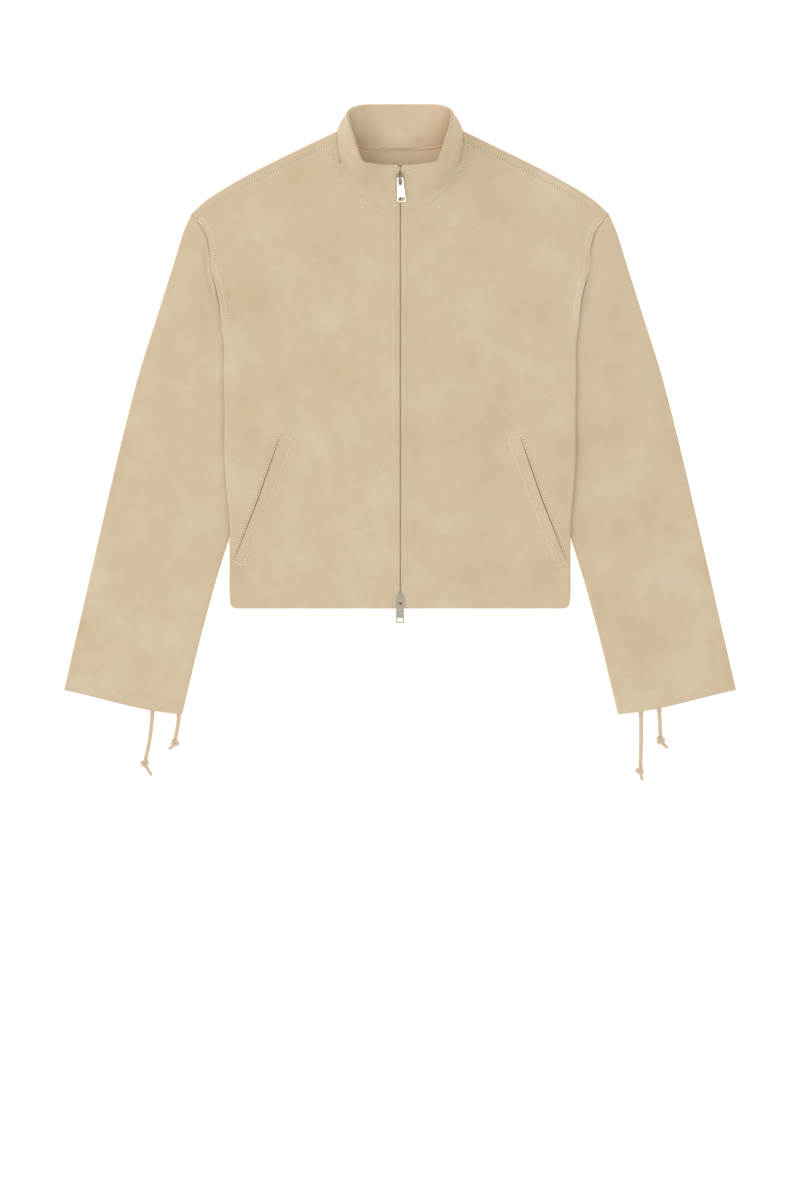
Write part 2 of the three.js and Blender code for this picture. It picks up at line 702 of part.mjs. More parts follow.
function facingSheet() {
  const z = SUEDE + SEAM_GAP + HALF;
  const seam = backNeckCurve.getPoints(LINE_SAMPLES);
  const rows = spread(FACING_ROWS_UP).map((v) =>
    spread(FACING_COLUMNS, (t) => mix(-1, 1, t)).map((u) => {
      const x = u * FACING.halfWidth;
      const away = (p) => Math.abs(p.x - Math.abs(x));
      const topY = seam.reduce((a, b) => (away(b) < away(a) ? b : a)).y - FACING.below;
      const bottomY = BACK_NECK_ROWS[4][1] - FACING.drop + (FACING.drop - FACING.sideDrop) * u * u;
      return V3(x, mix(bottomY, topY, v), z);
    }),
  );
  return new Sheet().addRows(rows);
}

function weltSheet(skin) {
  const [a, b, c, d] = [WELT.innerBottom, WELT.mouthBottom, WELT.mouthTop, WELT.innerTop];
  const above = SEAM_GAP + WELT_THICKNESS / 2;
  const rows = spread(WELT_ROWS_UP).map((v) =>
    spread(WELT_COLUMNS).map((u) => {
      const x = mix(mix(a[0], b[0], u), mix(d[0], c[0], u), v);
      const y = mix(mix(a[1], b[1], u), mix(d[1], c[1], u), v);
      return V3(x, y, skin(x, y) + above);
    }),
  );
  return new Sheet().addRows(rows);
}

// The line up the middle of the zip at the middle of the cloth, as Y, Z.
const collarBase = V3(0, COLLAR_ROWS[0][1], COLLAR_ROWS[0][2]);
const collarTop = V3(0, COLLAR_ROWS[0][4], COLLAR_ROWS[0][5]);
const collarUp = collarTop.clone().sub(collarBase).normalize();
const collarOut = V3(0, -collarUp.z, collarUp.y);

function zipLine() {
  const levels = [HEM_Y + TAPE_HEM_SETBACK, ...ZIP_LEVELS];
  const line = levels.map((y) => ({ p: V3(0, y, frontHeight(0, y)), n: UP.clone() }));
  const bend = UP.clone().add(collarOut).normalize();
  line.push({ p: collarBase.clone().addScaledVector(bend, -TAPE_COLLAR_DROP), n: bend });
  const end = collarTop.distanceTo(collarBase) - TAPE_TOP_SETBACK;
  for (const along of [...ZIP_COLLAR_LEVELS, end]) {
    const p = collarBase.clone().addScaledVector(collarUp, along);
    line.push({ p: p.addScaledVector(collarOut, -TAPE_COLLAR_DROP), n: collarOut.clone() });
  }
  return line;
}

// A tape with its half of the chain: a closed section carried along the zip.
function tape(sign) {
  const inner = SEAM_GAP / 2;
  const half = TAPE.thickness / 2;
  const section = [
    [inner, -TAPE.beadDown], [inner + TAPE.beadWidth, -TAPE.beadDown],
    [inner + TAPE.beadWidth, -half], [TAPE.width, -half],
    [TAPE.width, half], [inner + TAPE.beadWidth, half],
    [inner + TAPE.beadWidth, TAPE.beadUp], [inner, TAPE.beadUp],
  ];
  const rings = zipLine().map(({ p, n }) =>
    section.map(([x, up]) => p.clone().addScaledVector(n, up - TAPE_DEPTH).setX(sign * x)),
  );
  return sweep(rings, sign < 0);
}

// A closed solid through rings of one size, with flat ends.
function sweep(rings, reversed) {
  const size = rings[0].length;
  const xyz = rings.flat().flatMap((p) => [p.x, p.y, p.z]);
  const faces = [];
  for (let j = 0; j + 1 < rings.length; j++) {
    for (let i = 0; i < size; i++) {
      const k = (i + 1) % size;
      const [a, b, c, d] = [j * size + i, j * size + k, (j + 1) * size + k, (j + 1) * size + i];
      faces.push([a, b, c], [a, c, d]);
    }
  }
  const outline = rings[0].map((p) => new THREE.Vector2(Math.abs(p.x), p.z));
  const last = (rings.length - 1) * size;
  for (const [a, b, c] of THREE.ShapeUtils.triangulateShape(outline, [])) {
    faces.push([a, c, b], [last + a, last + b, last + c]);
  }
  const geometry = new THREE.BufferGeometry();
  geometry.setAttribute("position", new THREE.Float32BufferAttribute(xyz, 3));
  geometry.setIndex(faces.flatMap(([a, b, c]) => (reversed ? [a, b, c] : [a, c, b])));
  return geometry;
}

// Joins closed geometries into one solid.
function join(...parts) {
  const solids = parts.map((g) => {
    const bare = g.clone();
    bare.deleteAttribute("normal");
    bare.deleteAttribute("uv");
    const merged = mergeVertices(bare, WELD);
    return new wasm.Manifold(
      new wasm.Mesh({
        numProp: 3,
        vertProperties: new Float32Array(merged.attributes.position.array),
        triVerts: new Uint32Array(merged.index.array),
      }),
    );
  });
  const mesh = solids.reduce((a, b) => a.add(b)).getMesh();
  const out = new THREE.BufferGeometry();
  out.setAttribute("position", new THREE.Float32BufferAttribute(mesh.vertProperties, mesh.numProp));
  out.setIndex(Array.from(mesh.triVerts));
  return out;
}

// A slider in its own frame: pivot at the origin, Y along the zip, Z out of the cloth.
function sliderGeometry() {
  const { length, width, tail, thickness, crown } = SLIDER;
  const { archLength, archLeg, archWidth, archHeight, archFoot } = SLIDER;
  const plan = new THREE.Shape();
  plan.moveTo(-tail / 2, -length / 2);
  plan.lineTo(tail / 2, -length / 2);
  plan.quadraticCurveTo(width / 2, -length / 6, width / 2, length / 6);
  plan.quadraticCurveTo(width / 2, length / 2, width / 5, length / 2);
  plan.lineTo(-width / 5, length / 2);
  plan.quadraticCurveTo(-width / 2, length / 2, -width / 2, length / 6);
  plan.quadraticCurveTo(-width / 2, -length / 6, -tail / 2, -length / 2);
  const plate = new THREE.ExtrudeGeometry(plan, { depth: thickness, bevelEnabled: false, curveSegments: 5 });
  plate.translate(0, 0, -thickness - archHeight / 2);
  const side = new THREE.Shape();
  const outer = archLength / 2;
  const inner = outer - archLeg;
  const innerRadius = SLIDER.archInnerRadius;
  const outerRadius = SLIDER.archOuterRadius;
  const roof = archHeight + crown;
  side.moveTo(-outer, -archFoot);
  side.lineTo(-inner, -archFoot);
  side.lineTo(-inner, archHeight - innerRadius);
  side.quadraticCurveTo(-inner, archHeight, -inner + innerRadius, archHeight);
  side.lineTo(inner - innerRadius, archHeight);
  side.quadraticCurveTo(inner, archHeight, inner, archHeight - innerRadius);
  side.lineTo(inner, -archFoot);
  side.lineTo(outer, -archFoot);
  side.lineTo(outer, roof - outerRadius);
  side.quadraticCurveTo(outer, roof, outer - outerRadius, roof);
  side.lineTo(-outer + outerRadius, roof);
  side.quadraticCurveTo(-outer, roof, -outer, roof - outerRadius);
  side.closePath();
  const arch = new THREE.ExtrudeGeometry(side, { depth: archWidth, bevelEnabled: false, curveSegments: 4 });
  arch.translate(0, 0, -archWidth / 2);
  arch.applyMatrix4(new THREE.Matrix4().makeBasis(V3(0, 1, 0), V3(0, 0, 1), V3(1, 0, 0)));
  arch.translate(0, 0, -archHeight / 2);
  return join(plate, arch);
}

// A pull tab in the slider's frame: its bar turns about X at the origin.
function pullGeometry() {
  const { length, topWidth, endWidth, thickness, bar, corner } = PULL;
  const { slotWidth, slotLength, rim, windowLength } = PULL;
  const top = bar / 2;
  const end = top - length;
  const plan = new THREE.Shape();
  plan.moveTo(-topWidth / 2, top - corner);
  plan.lineTo(-endWidth / 2, end + corner);
  plan.quadraticCurveTo(-endWidth / 2, end, -endWidth / 2 + corner, end);
  plan.lineTo(endWidth / 2 - corner, end);
  plan.quadraticCurveTo(endWidth / 2, end, endWidth / 2, end + corner);
  plan.lineTo(topWidth / 2, top - corner);
  plan.quadraticCurveTo(topWidth / 2, top, topWidth / 2 - corner, top);
  plan.lineTo(-topWidth / 2 + corner, top);
  plan.quadraticCurveTo(-topWidth / 2, top, -topWidth / 2, top - corner);
  const slot = new THREE.Path();
  const slotEnd = -bar / 2 - slotLength;
  const half = slotWidth / 2;
  slot.moveTo(-half, -bar / 2);
  slot.lineTo(half, -bar / 2);
  slot.lineTo(half, slotEnd + half);
  slot.absarc(0, slotEnd + half, half, 0, -Math.PI, true);
  slot.closePath();
  const window = new THREE.Path();
  const halfWindow = endWidth / 2 - rim;
  window.moveTo(-halfWindow, end + rim);
  window.lineTo(halfWindow, end + rim);
  window.lineTo(halfWindow, end + rim + windowLength);
  window.lineTo(-halfWindow, end + rim + windowLength);
  window.closePath();
  plan.holes.push(slot, window);
  const tab = new THREE.ExtrudeGeometry(plan, { depth: thickness, bevelEnabled: false, curveSegments: 5 });
  return tab.translate(0, 0, -thickness / 2);
}

// Places a geometry made in a slider's frame on the cloth.
function onCloth(geometry, pivot, along, out) {
  const across = along.clone().cross(out).normalize();
  const frame = new THREE.Matrix4().makeBasis(across, along, out).setPosition(pivot);
  return geometry.applyMatrix4(frame);
}

const PIVOT_UP = HALF + SEAM_GAP + SLIDER.thickness + SLIDER.archHeight / 2;
const topPivot = collarBase.clone().addScaledVector(collarUp, TOP_SLIDER_ALONG);
topPivot.addScaledVector(collarOut, PIVOT_UP);
const bottomPivot = V3(0, BOTTOM_PIVOT_Y, frontHeight(0, BOTTOM_PIVOT_Y) + PIVOT_UP);

// A drawcord along its route.
function cord(route) {
  const path = new THREE.CatmullRomCurve3(route.map((r) => V3(...r)), false, "centripetal");
  return tube(path, CORD_DIAMETER / 2, Math.round(path.getLength() / CORD_STEP) + 2);
}

function tube(path, radius, steps) {
  const corners = spread(CORD_SIDES).slice(0, -1).map((t) => {
    const angle = t * 2 * Math.PI;
    return new THREE.Vector2(radius * Math.cos(angle), radius * Math.sin(angle));
  });
  const section = new THREE.Shape(corners);
  return new THREE.ExtrudeGeometry(section, { steps, extrudePath: path, bevelEnabled: false });
}

// A knot with the short tail that sticks out of it.
function knot({ centre, tail }) {
  const ball = new THREE.SphereGeometry(0.5, ...KNOT_SEGMENTS);
  ball.scale(KNOT.across, KNOT.along, KNOT.high);
  ball.translate(centre[0], centre[1], KNOT.centreZ);
  const route = [centre, ...tail].map((at, i) => [...at, TAIL_HEIGHTS[i]]);
  const path = new THREE.CatmullRomCurve3(route.map((r) => V3(...r)), false, "centripetal");
  return join(ball, tube(path, TAIL_DIAMETER / 2, TAIL_STEPS));
}

const finish = {
  suede: { color: 0xd5c1a2, roughness: 0.95, metalness: 0 },
  suede_inside: { color: 0xcbb694, roughness: 0.95, metalness: 0 },
  zip_tape: { color: 0xc7b595, roughness: 0.85, metalness: 0 },
  bright_metal: { color: 0xe6e4e0, roughness: 0.18, metalness: 1 },
  nickel: { color: 0xa89f90, roughness: 0.3, metalness: 1 },
  cord: { color: 0xcdb690, roughness: 0.9, metalness: 0 },
};

const jacket = new THREE.Group();

function addPiece(name, geometry, look) {
  const mesh = new THREE.Mesh(geometry, new THREE.MeshStandardMaterial(finish[look]));
  mesh.name = name;
  jacket.add(mesh);
}

// Adds a piece and its mirror image, the right one first.
function addPair(name, sheet, thickness, look) {
  const right = wall(sheet, thickness);
  addPiece(`${name}_right`, right, look);
  const left = right.clone();
  left.scale(-1, 1, 1);
  const index = left.index.array.slice();
  for (let i = 0; i < index.length; i += 3) {
    [index[i + 1], index[i + 2]] = [index[i + 2], index[i + 1]];
  }
  left.setIndex(Array.from(index));
  addPiece(`${name}_left`, left, look);
}

const front = frontPanel();
addPiece("back", wall(backPanel(), SUEDE), "suede");
addPair("front", front, SUEDE, "suede");
addPair("sleeve", sleeve(), SUEDE, "suede");
addPiece("collar_outer", wall(collarSheet(null), SUEDE), "suede");
addPiece("collar_inner", wall(collarSheet(innerDepth), SUEDE), "suede_inside");
addPiece("back_neck_facing", wall(facingSheet(), SUEDE), "suede_inside");
addPair("welt", weltSheet(skinOf(front, SUEDE)), WELT_THICKNESS, "suede");
addPiece("zip_tape_left", tape(-1), "zip_tape");
addPiece("zip_tape_right", tape(1), "zip_tape");

addPiece("slider_top", onCloth(sliderGeometry(), topPivot, collarUp, collarOut), "bright_metal");
addPiece("slider_bottom", onCloth(sliderGeometry(), bottomPivot, V3(0, 1, 0), UP), "nickel");
const topPull = pullGeometry().rotateZ(TOP_PULL_YAW).rotateX(PULL_REST_TILT);
addPiece("pull_top", onCloth(topPull, topPivot, collarUp, collarOut), "bright_metal");
const bottomPull = pullGeometry().rotateX(PULL_REST_TILT);
addPiece("pull_bottom", onCloth(bottomPull, bottomPivot, V3(0, 1, 0), UP), "nickel");

for (const [name, route] of Object.entries(CORDS)) addPiece(name, cord(route), "cord");
for (const [name, shape] of Object.entries(KNOTS)) addPiece(name, knot(shape), "cord");

export default jacket;
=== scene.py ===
"""A cropped suede zip jacket laid flat: its cloth, sewing, zip and drawcords.

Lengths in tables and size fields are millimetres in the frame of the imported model:
+X to the right as seen from above, +Y from hem to collar, +Z up from the surface.
Meshes are made in metres. "left" is the -X side.
"""

import logging
from collections.abc import Callable
from dataclasses import dataclass, field
from enum import Enum

import bpy
import numpy as np
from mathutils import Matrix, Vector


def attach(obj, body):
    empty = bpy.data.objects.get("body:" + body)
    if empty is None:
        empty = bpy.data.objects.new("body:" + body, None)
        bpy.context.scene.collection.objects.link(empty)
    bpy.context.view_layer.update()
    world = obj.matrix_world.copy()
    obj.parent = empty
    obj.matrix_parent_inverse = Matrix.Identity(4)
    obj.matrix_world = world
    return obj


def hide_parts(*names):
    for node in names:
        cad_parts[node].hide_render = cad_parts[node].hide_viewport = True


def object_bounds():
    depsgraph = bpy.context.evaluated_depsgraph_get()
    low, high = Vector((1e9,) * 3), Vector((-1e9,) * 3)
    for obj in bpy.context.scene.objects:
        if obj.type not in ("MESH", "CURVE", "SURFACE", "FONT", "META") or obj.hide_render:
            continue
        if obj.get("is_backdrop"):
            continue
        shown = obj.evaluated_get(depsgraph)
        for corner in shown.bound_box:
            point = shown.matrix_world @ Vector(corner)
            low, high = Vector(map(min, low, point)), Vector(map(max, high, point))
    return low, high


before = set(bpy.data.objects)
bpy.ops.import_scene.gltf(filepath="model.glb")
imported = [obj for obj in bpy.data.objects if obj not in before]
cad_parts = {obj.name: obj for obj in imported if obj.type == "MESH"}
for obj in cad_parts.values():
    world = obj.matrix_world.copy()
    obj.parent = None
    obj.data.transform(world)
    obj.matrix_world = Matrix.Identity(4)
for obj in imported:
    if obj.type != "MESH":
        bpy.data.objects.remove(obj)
CAD_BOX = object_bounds()

Array = np.ndarray
Height = Callable[[Array, Array], Array]  # a height for each X and Y
Values = Array | float
Pair = tuple[float, float]
Triple = tuple[float, float, float]
Socket = bpy.types.NodeSocket

LOG = logging.getLogger("jacket")
MM = 0.001
TURN = 2 * np.pi

SUEDE = 1.2  # thickness of the cloth
HALF = SUEDE / 2
SEAM_GAP = 0.3
SEAM_JOIN = 0.04  # the same where two edges are sewn together on the face
HOLLOW = 2.0
HEM_Y = -238.5
FRONT_EDGE_X = 1.15

# Side seam from the hem corner up to the underarm: X, Y
SIDE_ROWS = [
    (197.5, HEM_Y), (202.2, -235.8), (204.0, -229), (204.3, -180), (204.8, -136), (208.4, -95),
    (210.8, -48), (210.6, 0), (211.6, 40), (211.2, 75), (213.5, 95),
]
# Armhole seam from the shoulder tip down to the underarm: X, Y
ARMHOLE_ROWS = [
    (250, 235.5), (243, 226.5), (234, 213), (229, 196), (227.2, 171), (221, 148), (215.4, 121), (213.5, 95),
]
# Shoulder fold from the neck to the shoulder tip: X, Y
SHOULDER_ROWS = [(75.5, 334), (127.2, 309.3), (184.2, 280.5), (231, 252.2), (250, 235.5)]
# Back neck seam from the shoulder fold to the centre back: X, Y
BACK_NECK_ROWS = [(75.5, 334), (66, 323.5), (51, 316.5), (22, 312.6), (0, 312)]
# Outer edge of the sleeve from the shoulder tip to the cuff: X, Y
SLEEVE_OUTER_ROWS = [
    (250, 235.5), (259.8, 213.3), (271.8, 174.9), (289.8, 117.3), (313.8, 40.5), (333.6, -36.3),
    (360.6, -151.5), (402.6, -336.3),
]
# Underarm edge of the sleeve; its first rows lie under the body: X, Y
SLEEVE_INNER_ROWS = [
    (213.5, 95), (196, 76), (173, 46), (163, 12), (166, -30), (182, -72), (204, -151.5),
    (221.4, -209.1), (242.4, -285.9), (261.6, -365.7),
]
SLEEVE_COVER_COUNT = 7
# Topstitching round the neck, from the zip out to the shoulder seam: X, Y
NECK_STITCH_ROWS = [
    (9, 238.7), (22, 241.4), (37.5, 249.4), (54, 261.2), (69.6, 279.7), (79.4, 301), (83.2, 318.6),
]
# Collar ribs from the zip round to the centre back: base X, Y, Z and top X, Y, Z
COLLAR_ROWS = [
    (1.8, 250.2, 6.4, 1.8, 291.6, 22), (15.6, 252.4, 6.4, 15, 291.8, 22.3),
    (30.8, 257.3, 6.4, 28, 292.1, 27.5), (48.6, 268.1, 6.4, 44.0, 294.2, 37),
    (61.6, 284.9, 6.4, 49.8, 303.6, 41.5), (69, 303, 6.4, 54.4, 318, 44.5),
    (72.9, 317, 6.4, 58.4, 330, 46.3), (74.6, 327, 5.8, 61.6, 342, 46),
    (75, 333.6, 3.6, 63, 350.6, 42.5), (69.4, 329, 1.3, 60.2, 356.4, 37.5),
    (58.6, 320.9, 0.9, 52.5, 361.5, 28), (44.5, 316.4, 0.9, 41.9, 364.4, 18),
    (22, 313.8, 0.9, 22, 365.4, 10.6), (0, 313.1, 0.9, 0, 365.8, 8.2),
]


class Slot(Enum):
    """The record's material slots."""

    SUEDE = "suede"
    INSIDE = "suede_inside"
    TAPE = "zip_tape"
    BRIGHT = "bright_metal"
    NICKEL = "nickel"
    CORD = "cord"


class Side(Enum):
    """The two halves of the jacket, as the sign of X."""

    LEFT = -1
    RIGHT = 1

    @property
    def word(self) -> str:
        """The side's name inside a piece's name."""
        return self.name.lower()


def smooth(t: Values) -> Array:
    """Rises from 0 to 1 with level ends: 3 t squared less 2 t cubed, t held in 0..1."""
    k = np.clip(t, 0, 1)
    return k * k * (3 - 2 * k)


def mix(a: Values, b: Values, t: Values) -> Values:
    """Goes from a to b as t goes from 0 to 1."""
    return a + (b - a) * t


def shares(count: int) -> Array:
    """Even shares from 0 to 1."""
    return np.linspace(0, 1, count)


def unit(v: Array) -> Array:
    """Vectors of length one."""
    return v / np.maximum(np.linalg.norm(v, axis=-1, keepdims=True), 1e-12)


def flip(points: Array) -> Array:
    """Points mirrored across the zip."""
    return points * np.array([-1.0, 1.0, 1.0])


def level(xy: Array, z: Values = 0.0) -> Array:
    """Points with the X and Y of the first argument and a height of their own."""
    return np.stack([xy[..., 0], xy[..., 1], np.broadcast_to(z, xy.shape[:-1])], axis=-1)


def on_side(grid: Array, side: Side) -> Array:
    """A grid made on the right side, mirrored for the left with its columns turned."""
    return grid if side is Side.RIGHT else flip(grid)[:, ::-1]


def run_of(points: Array) -> Array:
    """Lengths along a row of points, from 0 at the first."""
    return np.concatenate([[0], np.cumsum(np.linalg.norm(np.diff(points, axis=0), axis=1))])


def read_along(lengths: Array, run: Array, values: Array) -> Array:
    """Values with three parts, known at the lengths `run`, read at other lengths."""
    return np.stack([np.interp(lengths, run, values[:, i]) for i in range(3)], axis=-1)


def repeated(faces: Array, count: int, step: int) -> Array:
    """The faces of `count` like shapes that have `step` points each."""
    return (faces[None] + (np.arange(count) * step)[:, None, None]).reshape(-1, faces.shape[1])


def fill(
    low: Array, high: Array, left: Array, right: Array, u: Array, v: Array
) -> Array:
    """Points between four edges that meet at their corners.

    It adds the two straight fills between opposite edges and takes away the fill
    between the corners.

    Args:
        low, high: the edges across, where v is 0 and 1.
        left, right: the edges along, where u is 0 and 1.
        u, v: shares across and along, over the grid and with a last axis of one.

    Returns:
        The grid of points.
    """
    grid = low * (1 - v) + high * v + left[:, None] * (1 - u) + right[:, None] * u
    grid = grid - low[0] * (1 - u) * (1 - v) - low[-1] * u * (1 - v)
    return grid - high[0] * (1 - u) * v - high[-1] * u * v


class Line:
    """A smooth curve through table points, read by its length.

    Between two points it is a cubic whose end slopes follow the neighbours at
    distances raised to one half; past its ends the table is mirrored through the
    end point.
    """

    SAMPLES = 3001

    def __init__(self, rows: list[tuple[float, ...]]) -> None:
        """Makes the curve.

        Args:
            rows: its points, as X, Y or X, Y, Z.
        """
        p = np.array(rows, float)
        if p.shape[1] == 2:
            p = level(p)
        self.knots = np.vstack([2 * p[0] - p[1], p, 2 * p[-1] - p[-2]])
        self.shares = shares(self.SAMPLES)
        fine = self.by_share(self.shares)
        self.run = run_of(fine)
        self.length = float(self.run[-1])

    def by_share(self, t: Array) -> Array:
        """Points at shares of the table's rows, whatever their distances."""
        count = len(self.knots) - 3
        place = np.clip(t, 0, 1) * count
        k = np.minimum(place.astype(int), count - 1)
        w = (place - k)[..., None]
        a, b, c, d = (self.knots[k + i] for i in range(4))
        pairs = ((a, b), (b, c), (c, d))
        ab, bc, cd = (np.linalg.norm(q - p, axis=-1, keepdims=True) ** 0.5 for p, q in pairs)
        start = ((b - a) / ab - (c - a) / (ab + bc) + (c - b) / bc) * bc
        end = ((c - b) / bc - (d - b) / (bc + cd) + (d - c) / cd) * bc
        return b + w * start + w**2 * (3 * (c - b) - 2 * start - end) + w**3 * (2 * (b - c) + start + end)

    def at(self, u: Values) -> Array:
        """Points at shares of the curve's length."""
        return self.by_share(np.interp(np.asarray(u, float) * self.length, self.run, self.shares))

    def right(self, u: Values) -> Array:
        """Level directions to the right of the travel at shares of its length."""
        step = 2e-4
        u = np.asarray(u, float)
        t = self.at(np.minimum(u + step, 1)) - self.at(np.maximum(u - step, 0))
        return unit(np.stack([t[..., 1], -t[..., 0], 0 * t[..., 0]], axis=-1))


CREASE_SAMPLES = 21
CREASE_FULLNESS = 0.7  # below 1 a crease keeps its height nearer to its ends


@dataclass(frozen=True)
class Crease:
    """One soft trough or ridge of the cloth, on the right side's plan.

    Attributes:
        start, bend, end: X and Y of its ends and of the point that it leans towards.
        rise: height of its middle, negative in a trough.
        width: distance over which it fades to both sides.
    """

    start: Pair
    bend: Pair
    end: Pair
    rise: float
    width: float

    def height(self, x: Array, y: Array) -> Array:
        """Its height over points of the plan.

        The line is a parabola's arc of straight steps. The height is the rise, times a
        bell curve of the distance to the line, times a hump along it.
        """
        t = shares(CREASE_SAMPLES)
        a, b, c = (np.array(p, float)[:, None] for p in (self.start, self.bend, self.end))
        px, py = (1 - t) ** 2 * a + 2 * t * (1 - t) * b + t**2 * c
        near = np.full(x.shape, np.inf)
        share = np.zeros(x.shape)
        for i in range(len(t) - 1):
            dx, dy = px[i + 1] - px[i], py[i + 1] - py[i]
            w = np.clip(((x - px[i]) * dx + (y - py[i]) * dy) / (dx * dx + dy * dy), 0, 1)
            away = np.hypot(x - px[i] - w * dx, y - py[i] - w * dy)
            closer = away < near
            near = np.where(closer, away, near)
            share = np.where(closer, mix(t[i], t[i + 1], w), share)
        hump = np.sin(np.pi * np.clip(share, 0, 1)) ** CREASE_FULLNESS
        return self.rise * np.exp(-((near / self.width) ** 2)) * hump


def relief(creases: list[Crease], x: Array, y: Array) -> Array:
    """The sum of the creases' heights over points of the plan."""
    total = np.zeros(np.shape(x))
    for crease in creases:
        total = total + crease.height(x, y)
    return total


def creases_of(rows: list[tuple[float, ...]]) -> list[Crease]:
    """The creases of a table: X, Y of start, bend and end, then rise and width."""
    return [Crease(row[:2], row[2:4], row[4:6], *row[6:]) for row in rows]


# Creases of the fronts; the left front has its own
RIGHT_FRONT_CREASES = creases_of([
    (236, 205, 226, 182, 222, 150, -0.9, 3.2),
    (228, 214, 219, 190, 212, 152, 0.7, 5.0),
    (207, 140, 205, 136, 206, 128, -0.8, 1.8),
    (196, 168, 184, 118, 190, 74, 0.8, 12.0),
    (206, 120, 198, 96, 204, 62, -0.7, 7.0),
    (150, 212, 158, 160, 146, 108, -0.6, 14.0),
    (96, 236, 104, 196, 92, 150, 0.6, 15.0),
    (60, 232, 52, 180, 58, 118, -0.5, 12.0),
    (182, 52, 150, 34, 112, 30, -0.55, 12.0),
    (120, 96, 112, 52, 122, 6, 0.55, 15.0),
    (52, 84, 60, 30, 50, -34, 0.5, 13.0),
    (28, 60, 25, 0, 30, -66, -0.5, 8.0),
    (92, -20, 88, -70, 100, -118, -0.55, 13.0),
    (168, -12, 186, -54, 202, -84, 0.6, 9.0),
    (60, -100, 66, -150, 56, -204, 0.5, 12.0),
    (120, -150, 112, -186, 122, -226, -0.5, 12.0),
    (30, -120, 26, -170, 32, -222, -0.45, 7.0),
    (150, 286, 172, 262, 188, 226, -0.5, 11.0),
    (104, 304, 112, 280, 110, 252, 0.5, 9.0),
])
LEFT_FRONT_CREASES = creases_of([
    (238, 208, 227, 184, 223, 150, -1.0, 3.4),
    (229, 212, 220, 188, 211, 148, 0.7, 5.0),
    (204.5, 144, 203.5, 140, 204.5, 134, -0.9, 1.8),
    (198, 132, 190, 122, 187, 108, 0.8, 7.0),
    (200, 100, 188, 60, 198, 20, 0.7, 12.0),
    (206, 76, 200, 40, 205, -8, -0.6, 6.0),
    (144, 196, 130, 150, 140, 92, -0.6, 15.0),
    (84, 220, 96, 180, 86, 138, 0.6, 14.0),
    (50, 210, 56, 160, 48, 104, -0.5, 11.0),
    (170, 24, 140, 16, 104, 22, -0.5, 12.0),
    (110, 120, 120, 70, 110, 20, 0.6, 15.0),
    (64, 60, 54, 0, 62, -60, 0.5, 13.0),
    (29, 96, 24, 40, 29, -30, -0.5, 8.0),
    (100, -40, 96, -90, 108, -130, -0.5, 13.0),
    (172, -20, 190, -60, 201, -100, 0.55, 9.0),
    (56, -120, 50, -170, 60, -214, 0.5, 12.0),
    (132, -140, 122, -180, 132, -222, -0.5, 12.0),
    (27, -90, 32, -150, 26, -206, -0.5, 7.0),
    (158, 280, 178, 256, 196, 218, -0.5, 11.0),
    (110, 300, 116, 276, 112, 246, 0.5, 9.0),
])
# Creases of the sleeves' upper layers
SLEEVE_CREASES = creases_of([
    (234, 204, 231, 166, 220, 112, -1.9, 3.4),
    (240, 190, 244, 160, 236, 118, 0.6, 7.0),
    (246, 190, 256, 150, 248, 100, 0.9, 11.0),
    (226, 134, 232, 100, 224, 66, -1.0, 7.0),
    (268, 150, 276, 100, 270, 40, -0.7, 14.0),
    (242, 60, 250, 20, 240, -24, 0.8, 12.0),
    (218, 60, 220, 10, 216, -40, -0.7, 5.0),
    (296, 60, 302, 10, 312, -40, 0.7, 14.0),
    (262, 0, 272, -50, 268, -104, -0.8, 13.0),
    (214, -118, 222, -128, 236, -132, -0.9, 3.2),
    (216, -108, 226, -116, 240, -120, 0.7, 4.0),
    (310, -70, 322, -120, 326, -170, -0.7, 13.0),
    (244, -110, 254, -160, 262, -204, 0.7, 13.0),
    (284, -160, 298, -206, 300, -250, 0.7, 14.0),
    (232, -190, 246, -226, 252, -270, -0.7, 10.0),
    (350, -190, 360, -240, 372, -286, 0.6, 12.0),
    (318, -226, 330, -270, 334, -316, -0.7, 13.0),
    (270, -270, 282, -306, 284, -342, 0.6, 11.0),
])
# Creases of the collar, on its plan
COLLAR_CREASES = creases_of([
    (62, 308, 58, 299, 54, 288, -2.1, 1.5),
    (66, 308, 61, 297, 58, 286, 1.3, 2.2),
    (58, 303, 53, 293, 50, 284, 1.2, 1.8),
    (40, 284, 37, 274, 39, 266, -0.5, 3.0),
    (24, 282, 20, 270, 23, 260, 0.5, 4.0),
])
# Creases of the back, which lies on the surface: small ridges seen from below
BACK_CREASES = creases_of([
    (40, 250, 56, 190, 44, 120, 0.5, 12.0),
    (120, 240, 108, 180, 118, 110, 0.6, 14.0),
    (180, 190, 188, 140, 178, 80, 0.7, 12.0),
    (20, 80, 34, 20, 22, -50, 0.5, 12.0),
    (90, 70, 80, 0, 94, -70, 0.6, 14.0),
    (160, 30, 120, 14, 86, 26, 0.5, 10.0),
    (150, -60, 162, -120, 148, -180, 0.6, 13.0),
    (60, -90, 50, -150, 62, -210, 0.5, 12.0),
    (-70, 230, -58, 170, -72, 100, 0.6, 13.0),
    (-150, 250, -160, 190, -148, 130, 0.6, 14.0),
    (-30, 40, -44, -20, -32, -90, 0.5, 12.0),
    (-110, 60, -98, 0, -112, -70, 0.6, 13.0),
    (-180, 0, -150, -18, -112, -10, 0.5, 10.0),
    (-90, -120, -104, -170, -90, -220, 0.5, 12.0),
])


